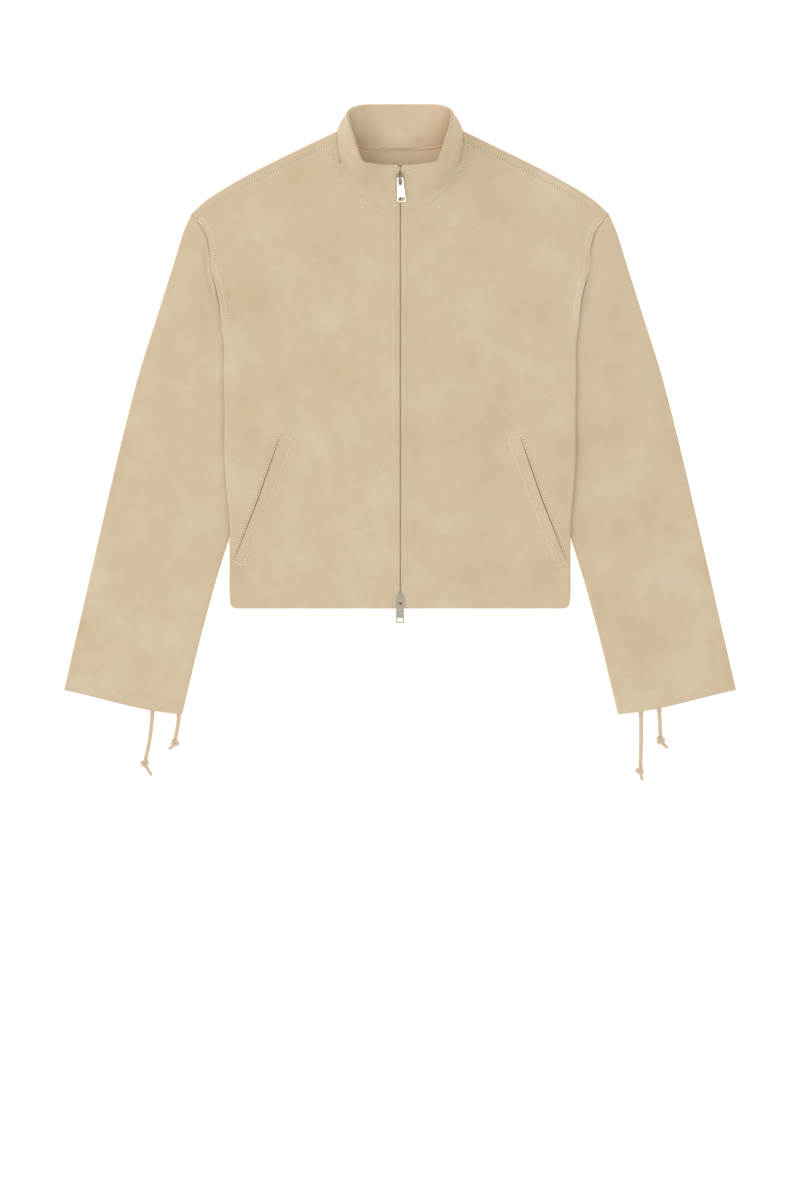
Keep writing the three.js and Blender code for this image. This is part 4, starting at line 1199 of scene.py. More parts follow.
    def front_height(self, side: Side) -> Height:
        """A function of the right side's X and Y: the front's height with its creases.

        The creases fade towards the front edge. The folded front edge stands higher
        by its second layer, with a groove along its topstitching.
        """
        creases = RIGHT_FRONT_CREASES if side is Side.RIGHT else LEFT_FRONT_CREASES

        def height(x: Array, y: Array) -> Array:
            """The height over points of the right side's plan."""
            edge = smooth((x - self.calm_x) / self.calm_fade)
            step = self.placket_rise * (1 - smooth((x - self.placket_x) / self.placket_fade))
            groove = self.groove_depth * np.exp(-(((x - self.groove_x) / self.groove_width) ** 2))
            return LIE.front(x, y) + self.crease_gain * relief(creases, x, y) * edge + step - groove

        return height

    def front_grid(self, side: Side) -> Array:
        """Points of one front, made on the right side and mirrored for the left."""
        inset = self.setback + SEAM_JOIN / 2
        share = shares(self.neck_columns + 1) ** self.neck_crowding
        neck = self.front_neck(share, SEAM_JOIN / 2)
        neck[-1] = self.shoulder_point(0.0, inset)
        shoulder = self.shoulder_point(shares(self.shoulder_columns + 1)[1:], inset)
        even = np.linspace(inset + self.first_stop, self.armhole.length, self.armhole_count)
        stops = np.concatenate([inset + np.array(self.edge_steps), even])
        return on_side(self.panel(FRONT_EDGE_X, neck, shoulder, stops, self.front_height(side), -1), side)

    def back_mesh(self) -> Mesh:
        """The back, with the strip that wraps over each shoulder to the forward seam."""
        share = shares(self.neck_columns + 1) ** self.neck_crowding
        neck = self.back_neck.at(1 - share) - self.back_neck.right(1 - share) * SEAM_JOIN / 2
        neck[0, 0] = 0
        neck[-1] = self.shoulder_point(0.0, self.fold)
        w = shares(self.shoulder_columns + 1)
        even = np.linspace(self.setback, self.armhole.length, self.armhole_count)
        stops = np.concatenate([[self.fold], even])
        half = self.panel(0.0, neck, self.shoulder_point(w[1:], self.fold), stops, LIE.back, 1)
        whole = np.concatenate([flip(half)[:, :0:-1], half], axis=1)
        whole[..., 2] += np.maximum(0, relief(BACK_CREASES, whole[..., 0], whole[..., 1]))
        edge = half[-1, self.neck_columns : self.neck_columns + self.shoulder_columns + 1]
        edge = level(edge, whole[-1, -half.shape[1] :, 2][self.neck_columns : self.neck_columns + len(w)])
        rows = [edge]
        radius = self.fold - HALF
        for angle in np.linspace(0, np.pi, self.wrap_rows)[1:]:
            row = self.shoulder_point(w, self.fold - radius * np.sin(angle))
            top = LIE.front(edge[:, 0], edge[:, 1])
            rows.append(level(row, mix(edge[:, 2], top, (1 - np.cos(angle)) / 2)))
        end = self.setback - SEAM_JOIN / 2
        even = np.linspace(self.fold, end - self.strip_step, self.strip_rows)[1:]
        for inset in np.concatenate([even, end - np.array(self.edge_steps[3::-1])]):
            row = self.shoulder_point(w, inset)
            rows.append(level(row, LIE.front(row[:, 0], row[:, 1]) - self.ditch(end - inset)))
        strip = np.stack(rows)
        mesh = Mesh().add_grid(whole).add_grid(strip)
        return mesh.add_grid(flip(strip)[:, ::-1])

    def build(self, looks: Looks) -> None:
        """Builds and dresses the back and the fronts."""
        back = give_wall(self.back_mesh().build("back_panel", weld=0.01))
        place(back, looks.suede, Slot.SUEDE, ["back"])
        for side in Side:
            front = give_wall(Mesh().add_grid(self.front_grid(side)).build(f"front_panel_{side.word}"))
            place(front, looks.suede, Slot.SUEDE, [f"front_{side.word}"])

    def top_skin(self, side: Side, x: Array, y: Array) -> Array:
        """Points on the upper skin of a front over the right side's X and Y."""
        z = self.front_height(side)(x, y) + HALF
        points = np.stack([x, y, z], axis=-1)
        return points if side is Side.RIGHT else flip(points)


@dataclass
class Sleeves:
    """The two one-piece sleeves, each a flattened tube.

    Attributes:
        hidden_hollow: empty height where the sleeve is pressed under the body.
        cuff_hollow, cuff_fade: the same at the cuff, and the length of its rise.
        cuff_bow: how far the cuff's edge bows out.
        cord_lift, cord_fade: further rise over the drawcords.
        cord_from, cord_share: share across at which that rise begins, and its width.
        pull, pull_fade: how much more of the underarm is drawn in near the armhole.
        clear_x, clear_fade_x, clear_y, clear_fade_y: where it comes clear of the body.
        seam_dip, dip_spread: depth and width of its dip along the armhole, as
            multiples of the body's ditch.
        across, along, turn: points across a layer, down it and round an edge.
        cap_share, cap_count: share of its length at the armhole with closer points.
        bow_way, bow_lean: way in which the cuff bows, and where most.
        edge_calm, end_calm: shares at the edges and ends that keep free of creases.
        under_gain: how strongly the creases show in the lower layer.
        roundness, reach_more: fullness of the turned edges and its limit.
        flat, area: sizes of the cut, in metres.
    """

    hidden_hollow: float = 0.8
    cuff_hollow: float = 3.6
    cuff_fade: float = 90
    cuff_bow: float = 2.8
    cord_lift: float = 1.3
    cord_fade: float = 70
    cord_from: float = 0.45
    cord_share: float = 0.15
    pull: float = 4
    pull_fade: float = 0.3
    clear_x: float = 215
    clear_fade_x: float = 36
    clear_y: float = 100
    clear_fade_y: float = 80
    seam_dip: float = 3.2
    dip_spread: float = 1.6
    across: int = 58
    along: int = 190
    turn: int = 9
    cap_share: float = 0.06
    cap_count: int = 10
    bow_way: Triple = (0.21, -0.98, 0)
    bow_lean: float = 1.6
    edge_calm: float = 0.07
    end_calm: Pair = (0.03, 0.04)
    under_gain: float = 0.5
    roundness: float = 1.1
    reach_more: float = 0.4
    flat: Pair = (0.347, 0.592)
    area: float = 0.149

    def clear(self, x: Array, y: Array) -> Array:
        """How far a point is clear of the body, from 0 to 1."""
        out, up = (x - self.clear_x) / self.clear_fade_x, (y - self.clear_y) / self.clear_fade_y
        return smooth(np.maximum(out, up))

    def hollow(self, x: Array, y: Array, t: Array, from_cuff: Array) -> Array:
        """Empty height inside the sleeve, t across it and `from_cuff` up from the cuff."""
        open_ = mix(self.hidden_hollow, HOLLOW, self.clear(x, y))
        cuff = (self.cuff_hollow - HOLLOW) * smooth(1 - from_cuff / self.cuff_fade)
        over = smooth((t - self.cord_from) / self.cord_share) * smooth(1 - from_cuff / self.cord_fade)
        return open_ + cuff + self.cord_lift * over

    def rings(self, body: Body) -> Array:
        """Closed rings from the armhole to the cuff.

        The plan is filled between the armhole, the cuff and the two long edges, as the
        body's panels are. The upper layer lies a hollow above the lower one, and both
        are joined by half turns along the edges.
        """
        inset = body.fold
        outer_line, inner_line = Line(SLEEVE_OUTER_ROWS), Line(SLEEVE_INNER_ROWS)
        cap = np.linspace(0, self.cap_share, self.cap_count)[:-1]
        s = np.concatenate([cap, np.linspace(self.cap_share, 1, self.along)])
        t = shares(self.across)
        seam = body.armhole_point(inset + t * (body.armhole.length - 2 * inset), SEAM_JOIN / 2)
        outer = outer_line.at(s) + outer_line.right(s) * inset
        inner = inner_line.at(s) - inner_line.right(s) * inset
        outer[0], inner[0] = seam[0], seam[-1]
        share = (t[None] ** mix(self.pull, 1, smooth(s / self.pull_fade))[:, None])[..., None]
        bow = np.array(self.bow_way) * self.cuff_bow * np.sin(np.pi * t**self.bow_lean)[:, None]
        cuff = mix(outer[-1], inner[-1], t[:, None]) + bow
        flat = fill(seam, cuff, outer, inner, share, s[:, None, None])
        x, y = flat[..., 0], flat[..., 1]
        hollow = self.hollow(x, y, t[None], ((1 - s) * outer_line.length)[:, None])
        inside = smooth(t / self.edge_calm) * smooth((1 - t) / self.edge_calm)
        ends = smooth(s / self.end_calm[0]) * smooth((1 - s) / self.end_calm[1])
        crease = relief(SLEEVE_CREASES, x, y) * inside[None] * ends[:, None]
        dip = self.seam_dip * body.ditch(s * outer_line.length / self.dip_spread)[:, None]
        top = level(flat, HALF + SUEDE + hollow + body.crease_gain * crease * self.clear(x, y) - dip)
        bottom = level(flat, HALF + np.maximum(0, -self.under_gain * crease))
        angle = np.linspace(0, np.pi, self.turn + 2)[1:-1]

        def half_turn(end: int, before: int) -> Array:
            """Points of the turn along one edge, from the upper layer to the lower."""
            out = unit(flat[:, end] - flat[:, before])[:, None]
            radius = (SUEDE + hollow[:, end]) / 2
            reach = np.minimum(radius * self.roundness, inset - HALF + self.reach_more)[:, None, None]
            turned = flat[:, end, None] + out * reach * np.sin(angle)[None, :, None]
            return level(turned, HALF + radius[:, None] * (1 + np.cos(angle)))

        return np.concatenate([top, half_turn(-1, -3), bottom[:, ::-1], half_turn(0, 2)[:, ::-1]], axis=1)

    def build(self, looks: Looks, body: Body) -> None:
        """Builds and dresses both sleeves."""
        ring = self.rings(body)
        for side in Side:
            tube = Mesh().add_grid(on_side(ring, side), closed=True)
            sleeve = give_wall(tube.build(f"sleeve_tube_{side.word}"))
            place(sleeve, looks.suede, Slot.SUEDE, [f"sleeve_{side.word}"])


@dataclass
class Collar:
    """The outer and inner collar and the facing inside the back neck.

    Attributes:
        bulge: how far its standing sides bow outwards.
        stand_z, stand_fade: height of the top edge where that bow begins.
        tape_clear: depth of the inner collar beside the zip tapes.
        tape_width, tape_fade: width of that deeper part and of its end.
        corner: radius of its top corners at the zip.
        front_share: share of its table's rows that come before the shoulder folds.
        seam_fade: distance in Y over which its base comes onto the neck seam.
        half_columns, rows, crowding: its ribs, the points up each and their spacing.
        seam_roll, roll_width, roll_in: height and width of the rolled edge along the
            seam inside the back neck, and its distance from the facing's edge.
        facing_half, facing_depth, facing_round: half the facing's width, its depth and
            how much less deep it is at its sides.
        facing_crowding, facing_tuck: spacing of its rows, and its reach past the seam.
        flat, area, facing_flat, facing_area: sizes of the cut, in metres.
    """

    bulge: float = 1.6
    stand_z: float = 24
    stand_fade: float = 16
    tape_clear: float = 3.2
    tape_width: float = 13
    tape_fade: float = 14
    corner: float = 3.4
    front_share: float = 8 / 13
    seam_fade: float = 10
    half_columns: int = 140
    rows: int = 22
    crowding: float = 1.4
    seam_roll: float = 1.1
    roll_width: float = 1.1
    roll_in: float = 0.9
    facing_half: float = 56
    facing_depth: float = 54
    facing_round: float = 24
    facing_crowding: float = 1.6
    facing_tuck: float = 0.6
    flat: Pair = (0.413, 0.053)
    area: float = 0.0176
    facing_flat: Pair = (0.112, 0.054)
    facing_area: float = 0.0055

    def half(self) -> Array:
        """Ribs of the right half from the zip to the centre back, each base to top."""
        share = shares(self.half_columns)
        base = Line([r[:3] for r in COLLAR_ROWS]).by_share(share)
        top = Line([r[3:] for r in COLLAR_ROWS]).by_share(share)
        centre = np.array([0, LIE.neck_y, 0])
        reach = np.hypot(base[:, 0] / LIE.neck_half, (base[:, 1] - LIE.neck_y) / LIE.neck_depth)
        in_front = share < self.front_share
        on_seam = (smooth((LIE.neck_y - base[:, 1]) / self.seam_fade) * in_front)[:, None]
        seam = level(centre + (base - centre) / reach[:, None], base[:, 2])
        base = mix(base, seam, on_seam)
        base[0, 0] = top[0, 0] = FRONT_EDGE_X
        corner = np.clip(1 - (top[:, :1] - FRONT_EDGE_X) / self.corner, 0, 1) * in_front[:, None]
        cut = self.corner * (1 - np.sqrt(1 - corner**2))
        top = top - unit(top - base) * cut
        v = shares(self.rows)[None, :, None] ** self.crowding
        stand = smooth((top[:, 2] - self.stand_z) / self.stand_fade)[:, None, None]
        away = unit(level(np.stack([top[:, 0], top[:, 1] - LIE.neck_y], axis=-1)))[:, None]
        base[:, 2] += (LIE.front(base[:, 0], base[:, 1]) - base[:, 2]) * on_seam[:, 0]
        tall = np.linalg.norm(top - base, axis=-1)[:, None]
        ribs = mix(base[:, None], top[:, None], v) + away * self.bulge * stand * np.sin(np.pi * v)
        share, y = v[..., 0], base[:, 1:2]
        ribs[..., 2] += (LIE.neck_bend(share * tall, y) - LIE.neck_bend(0 * tall, y) * (1 - share)) * on_seam
        return ribs + self.creases(ribs, v, away)

    def creases(self, ribs: Array, v: Array, away: Array) -> Array:
        """The short slanted creases down each side of the collar, as offsets."""
        rise = relief(COLLAR_CREASES, ribs[..., 0], ribs[..., 1]) * np.sin(np.pi * v[..., 0])
        return away * rise[..., None]

    def ribs(self) -> Array:
        """Rows of the whole collar from base to top, each from the left zip edge round."""
        right = self.half()
        whole = np.concatenate([flip(right[:-1]), right[::-1]])
        return whole.transpose(1, 0, 2)

    def inner_depth(self, grid: Array) -> Array:
        """How far inside the outer collar the inner one lies."""
        past = np.abs(grid[..., 0]) - self.tape_width
        beside = np.where(grid[..., 1] < LIE.neck_y, 1 - smooth(past / self.tape_fade), 0)
        return mix(SUEDE + SEAM_GAP, self.tape_clear, beside)

    def facing(self) -> Array:
        """The facing: straight across the neck seam, rounded at its lower edge."""
        rows, columns = 60, 61
        u = np.linspace(-1, 1, columns)
        v = shares(rows)[:, None]
        x = np.broadcast_to(u * self.facing_half, (rows, columns))
        neck = Line(BACK_NECK_ROWS).by_share(shares(400))[::-1]
        top = np.interp(np.abs(x), neck[:, 0], neck[:, 1]) + self.facing_tuck
        low = BACK_NECK_ROWS[-1][1] - self.facing_depth + self.facing_round * u**2
        y = mix(low, top, 1 - (1 - v) ** self.facing_crowding)
        roll = self.seam_roll * np.exp(-(((top - self.roll_in - y) / self.roll_width) ** 2))
        return np.stack([x, y, SUEDE + SEAM_GAP + HALF + roll], axis=-1)

    def build(self, looks: Looks) -> None:
        """Builds and dresses the collar and the facing."""
        grid = self.ribs()
        outer = give_wall(Mesh().add_grid(grid).build("collar_outer_band"))
        place(outer, looks.suede, Slot.SUEDE, ["collar_outer"])
        deeper = grid + normals_of(grid) * self.inner_depth(grid)[..., None]
        inner = give_wall(Mesh().add_grid(deeper).build("collar_inner_band"))
        place(inner, looks.inside, Slot.INSIDE, ["collar_inner"])
        facing = give_wall(Mesh().add_grid(self.facing()).build("neck_facing"))
        place(facing, looks.inside, Slot.INSIDE, ["back_neck_facing"])


@dataclass
class Welts:
    """The slanted welts of the side pockets, on the right side's plan.

    Attributes:
        mouth_top, inner_top, inner_bottom, mouth_bottom: corners of its topstitching.
        lip: distance of the pocket's mouth inside the mouth-side stitching, at its
            top, middle and bottom.
        thickness: thickness of the welt.
        proud, raised: height of its skin over the front's where it is sewn down, and
            how much more where it is free.
        swell, flare: more height in the middle, and towards the free edge.
        sewn_share, end_slope: share across in which it rises from the inner edge, and
            how steeply it does at its ends.
        gape, tuck: width in the middle of the mouth of the dark strip that paints the pocket's
            shade, and how far that strip reaches under the welt, as a share of the welt's width.
        skin_lift, mouth_shade_thickness: height of that strip over the front, and its thickness.
        rows, columns: points along the welt and across it.
        flat, area: sizes of the cut, in metres.
    """

    mouth_top: Pair = (146.2, -29.9)
    inner_top: Pair = (127.6, -35.1)
    inner_bottom: Pair = (188.2, -189.3)
    mouth_bottom: Pair = (201.0, -182.3)
    lip: Triple = (3.4, 4.4, 1.8)
    thickness: float = 1.1
    proud: float = 0.06
    raised: float = 0.8
    swell: float = 0.5
    flare: float = 0.9
    sewn_share: float = 0.3
    end_slope: float = 40
    gape: float = 1.3
    tuck: float = 0.08
    skin_lift: float = 0.02
    mouth_shade_thickness: float = 0.1
    rows: int = 90
    columns: int = 17
    flat: Pair = (0.017, 0.165)
    area: float = 0.0024

    def plan(self, u: Array, v: Array) -> tuple[Array, Array]:
        """X and Y in the rectangle: u from the inner edge to the mouth, v up it."""
        corners = (self.inner_bottom, self.mouth_bottom, self.mouth_top, self.inner_top)
        a, b, c, d = (np.array(p) for p in corners)
        u, v = np.asarray(u)[..., None], np.asarray(v)[..., None]
        p = mix(mix(a, b, u), mix(d, c, u), v)
        return p[..., 0], p[..., 1]

    def mouth(self, v: Array) -> Array:
        """u of the pocket's mouth at heights v of the rectangle."""
        lip = np.interp(v, [0, 0.5, 1], self.lip[::-1])
        low = np.hypot(*np.subtract(self.mouth_bottom, self.inner_bottom))
        return 1 - lip / mix(low, self.top_width(), v)

    def top_width(self) -> float:
        """Distance between the two upper corners."""
        return float(np.hypot(*np.subtract(self.mouth_top, self.inner_top)))

    def grid(self, body: Body, side: Side) -> Array:
        """The welt from its inner edge to the mouth, a low pillow over the front."""
        v = shares(self.rows)[:, None]
        u = shares(self.columns)[None] * self.mouth(v)
        u, v = np.broadcast_arrays(u, v)
        x, y = self.plan(u, v)
        across = u / self.mouth(v)
        ends = smooth(v * self.end_slope) * smooth((1 - v) * self.end_slope)
        rise = self.raised * smooth(across / self.sewn_share) * ends
        rise += self.swell * np.sin(np.pi * np.clip(across, 0, 1)) * np.sin(np.pi * v) ** 0.4
        rise += self.flare * across**4 * np.sin(np.pi * v) ** 0.5
        z = body.front_height(side)(x, y) + HALF - self.thickness / 2 + self.proud + rise
        return on_side(np.stack([x, y, z], axis=-1), side)

    def mouth_shade(self, body: Body, side: Side) -> Array:
        """A lens-shaped dark strip along the mouth, painted shade of the pocket's opening."""
        v = np.linspace(0.02, 0.98, self.rows)[:, None]
        gape = self.gape * np.sin(np.pi * v) ** 0.6 / self.top_width()
        u = self.mouth(v) - self.tuck + (gape + self.tuck) * shares(5)[None]
        u, v = np.broadcast_arrays(u, v)
        x, y = self.plan(u, v)
        z = body.front_height(side)(x, y) + HALF + self.skin_lift
        return on_side(np.stack([x, y, z], axis=-1), side)

    def build(self, looks: Looks, body: Body) -> None:
        """Builds and dresses both welts and the dark strips of painted shade along their mouths."""
        for side in Side:
            mouth_shade = Mesh().add_grid(self.mouth_shade(body, side)).build(f"pocket_mouth_shade_{side.word}")
            place(give_wall(mouth_shade, self.mouth_shade_thickness), looks.mouth_shade, Slot.SUEDE, [])
            welt = Mesh().add_grid(self.grid(body, side)).build(f"pocket_welt_{side.word}")
            place(give_wall(welt, self.thickness), looks.suede, Slot.SUEDE, [f"welt_{side.word}"])


@dataclass
class Sewing:
    """Topstitching: a run of short threads along each seam.

    Attributes:
        pitch: distance from one stitch to the next.
        length, width: size of one stitch.
        hole: size of the dark discs between them, painted shade in each needle hole.
        hole_squash: their width over their length.
        hole_lift, hole_top, hole_foot: heights of their rim and of their two tips.
        placket_x, second_x: X of the placket's row on each side, and of the left
            front's second row.
        placket_swing, swing_y, swing_fade: how far that row goes out at the hem, and
            where.
        hem_gap, zip_top_y, second_from_y: ends of those rows.
        armhole_insets: distances of its two rows from the armhole.
        shoulder_inset: distance of its row from the shoulder seam.
    """

    pitch: float = 3.2
    length: float = 2.05
    width: float = 1.2
    hole: float = 0.62
    hole_squash: float = 0.8
    hole_lift: float = 0.02
    hole_top: float = 0.1
    hole_foot: float = -0.2
    placket_x: Pair = (8.2, 7.4)
    second_x: float = 5.6
    placket_swing: float = 1.2
    swing_y: float = -170
    swing_fade: float = 60
    hem_gap: float = 1.5
    zip_top_y: float = 246
    second_from_y: float = 60
    armhole_insets: Pair = (1.4, 6.4)
    shoulder_inset: float = 1.8

    def stitch_shape(self) -> tuple[Array, Array, Array]:
        """One thread: five-sided rings along a low arch, with pointed ends.

        Returns:
            Points as (along, across, up) in stitch lengths and millimetres, faces, and
            marks that are 0 in the middle and 1 at the ends, where the thread's material paints shade.
        """
        along = np.array([-1, -0.72, 0, 0.72, 1]) * 0.5
        radius = np.array([0.15, 0.85, 1.0, 0.85, 0.15]) * self.width / 2
        lift = np.array([-0.2, 0.1, 0.18, 0.1, -0.2])
        sides = 5
        angle = np.arange(sides) / sides * TURN
        every = np.broadcast_to(along[:, None], (len(along), sides))
        across, up = radius[:, None] * np.cos(angle), lift[:, None] + radius[:, None] * np.sin(angle)
        points = np.stack([every, across, up], axis=-1).reshape(-1, 3)
        return points, grid_quads(len(along), sides, closed=True), np.abs(every).reshape(-1) * 2

    def run(self, threads: Mesh, hole_shades: Mesh, line: Array, normal: Array) -> None:
        """Adds the stitches of one seam.

        Args:
            threads, holes: the meshes that they join; the second holds dark discs of painted shade at the
                needle hole of each stitch.
            line: points of the seam on the cloth's skin.
            normal: the skin's normals there.
        """
        run = run_of(line)
        count = max(1, int(run[-1] / self.pitch))
        pitch = run[-1] / count
        start = np.arange(count) * pitch
        gap = pitch - self.length
        a, b = read_along(start + gap / 2, run, line), read_along(start + pitch - gap / 2, run, line)
        up = unit(read_along(start + pitch / 2, run, normal))
        ahead = b - a
        across = unit(np.cross(up, ahead))
        shape, faces, marks = self.stitch_shape()
        points = ((a + b) / 2)[:, None] + shape[None, :, :1] * ahead[:, None]
        points = points + shape[None, :, 1:2] * across[:, None] + shape[None, :, 2:] * up[:, None]
        threads.add(points, repeated(faces, count, len(shape)), np.tile(marks, (count, 1)))
        # Small dark discs between the stitches paint the shade in each needle hole.
        centre = read_along(start, run, line)
        sides = 6
        ring = np.arange(sides) / sides * TURN
        disc = unit(ahead)[:, None] * (np.cos(ring) * self.hole)[None, :, None]
        disc = disc + across[:, None] * (np.sin(ring) * self.hole * self.hole_squash)[None, :, None]
        rim = centre[:, None] + disc + up[:, None] * self.hole_lift
        tips = np.stack([centre + up * self.hole_top, centre + up * self.hole_foot], axis=1)
        i = np.arange(sides)
        k, top = (i + 1) % sides, np.full(sides, sides)
        cone = np.concatenate([np.stack([i, k, top], axis=-1), np.stack([k, i, top + 1], axis=-1)])
        hole_shades.add(np.concatenate([rim, tips], axis=1), repeated(cone, count, sides + 2))

    def on_front(self, body: Body, side: Side, x: Array, y: Array) -> tuple[Array, Array]:
        """A seam on a front: points on its skin and their normals.

        Args:
            body: the body panels.
            side: the front.
            x, y: the seam on the right side's plan.

        Returns:
            Points and normals.
        """
        points = body.top_skin(side, x, y)
        step = 0.5
        slope_x = body.top_skin(side, x + step, y)[:, 2] - body.top_skin(side, x - step, y)[:, 2]
        slope_y = body.top_skin(side, x, y + step)[:, 2] - body.top_skin(side, x, y - step)[:, 2]
        normal = unit(np.stack([-slope_x * side.value, -slope_y, np.full(len(x), 2 * step)], axis=-1))
        return points, normal

    def front_seams(self, body: Body, side: Side) -> list[tuple[Array, Array]]:
        """The seams of one front: placket, neck, forward shoulder and armhole."""
        placket_x = self.placket_x[side is Side.RIGHT]
        y = np.linspace(HEM_Y + self.hem_gap, self.zip_top_y, 400)
        x = placket_x + self.placket_swing * smooth((self.swing_y - y) / self.swing_fade)
        rows = [np.stack([x, y], axis=-1)]
        if side is Side.LEFT:
            y = np.linspace(self.second_from_y, self.zip_top_y, 160)
            rows.append(np.stack([np.full(len(y), self.second_x), y], axis=-1))
        rows.append(Line(NECK_STITCH_ROWS).at(shares(240)))
        rows.append(body.shoulder_point(np.linspace(0.04, 0.985, 240), body.setback + self.shoulder_inset))
        stops = np.linspace(12, body.armhole.length * 0.93, 200)
        rows += [body.armhole_point(stops, -inset) for inset in self.armhole_insets]
        return [self.on_front(body, side, row[:, 0], row[:, 1]) for row in rows]

    def welt_seams(self, welts: Welts, body: Body, side: Side) -> list[tuple[Array, Array]]:
        """The four sides of the topstitching round one welt."""
        long, short = shares(140), shares(24)
        edge, end = 0.03, 0.006
        sides = [
            (np.full(len(long), edge), mix(0.01, 0.99, long), welts.proud),
            (np.full(len(long), 1.0), long, 0.0),
            (mix(edge, 1.0, short), np.full(len(short), end), welts.proud),
            (mix(edge, 1.0, short), np.full(len(short), 1 - end), welts.proud),
        ]
        seams = []
        for u, v, lift in sides:
            points, normal = self.on_front(body, side, *welts.plan(u, v))
            height = lift * smooth((welts.mouth(v) + edge - u) / 0.05)
            seams.append((points + normal * height[:, None], normal))
        return seams

    def collar_seams(self, collar: Collar) -> list[tuple[Array, Array]]:
        """The row along the collar's top edge and the short rows beside the zip."""
        grid = collar.ribs()
        out = -normals_of(grid)
        row = collar.rows - 2
        seams = [(grid[row, 5:-5] + out[row, 5:-5] * HALF, out[row, 5:-5])]
        for column in (4, -9):
            part = slice(row - 3, row + 1)
            seams.append((grid[part, column] + out[part, column] * HALF, out[part, column]))
        return seams

    def build(self, looks: Looks, body: Body, welts: Welts, collar: Collar) -> None:
        """Sews every seam: one piece of thread and one of dark discs, painted shade at the needle hole of
        each stitch, for each panel.
        """
        panels = []
        for side in Side:
            seams = self.front_seams(body, side) + self.welt_seams(welts, body, side)
            panels.append((f"front_{side.word}", seams))
        panels.append(("collar", self.collar_seams(collar)))
        for name, seams in panels:
            threads, hole_shades = Mesh(), Mesh()
            for line, normal in seams:
                self.run(threads, hole_shades, line, normal)
            place(threads.build(f"topstitch_{name}"), looks.thread, Slot.SUEDE, [])
            place(hole_shades.build(f"needle_holes_{name}"), looks.hole, Slot.SUEDE, [])


def solid_points(node: str) -> Array:
    """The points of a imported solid, in millimetres."""
    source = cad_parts[node].data
    points = np.empty(len(source.vertices) * 3)
    source.vertices.foreach_get("co", points)
    return points.reshape(-1, 3) / MM


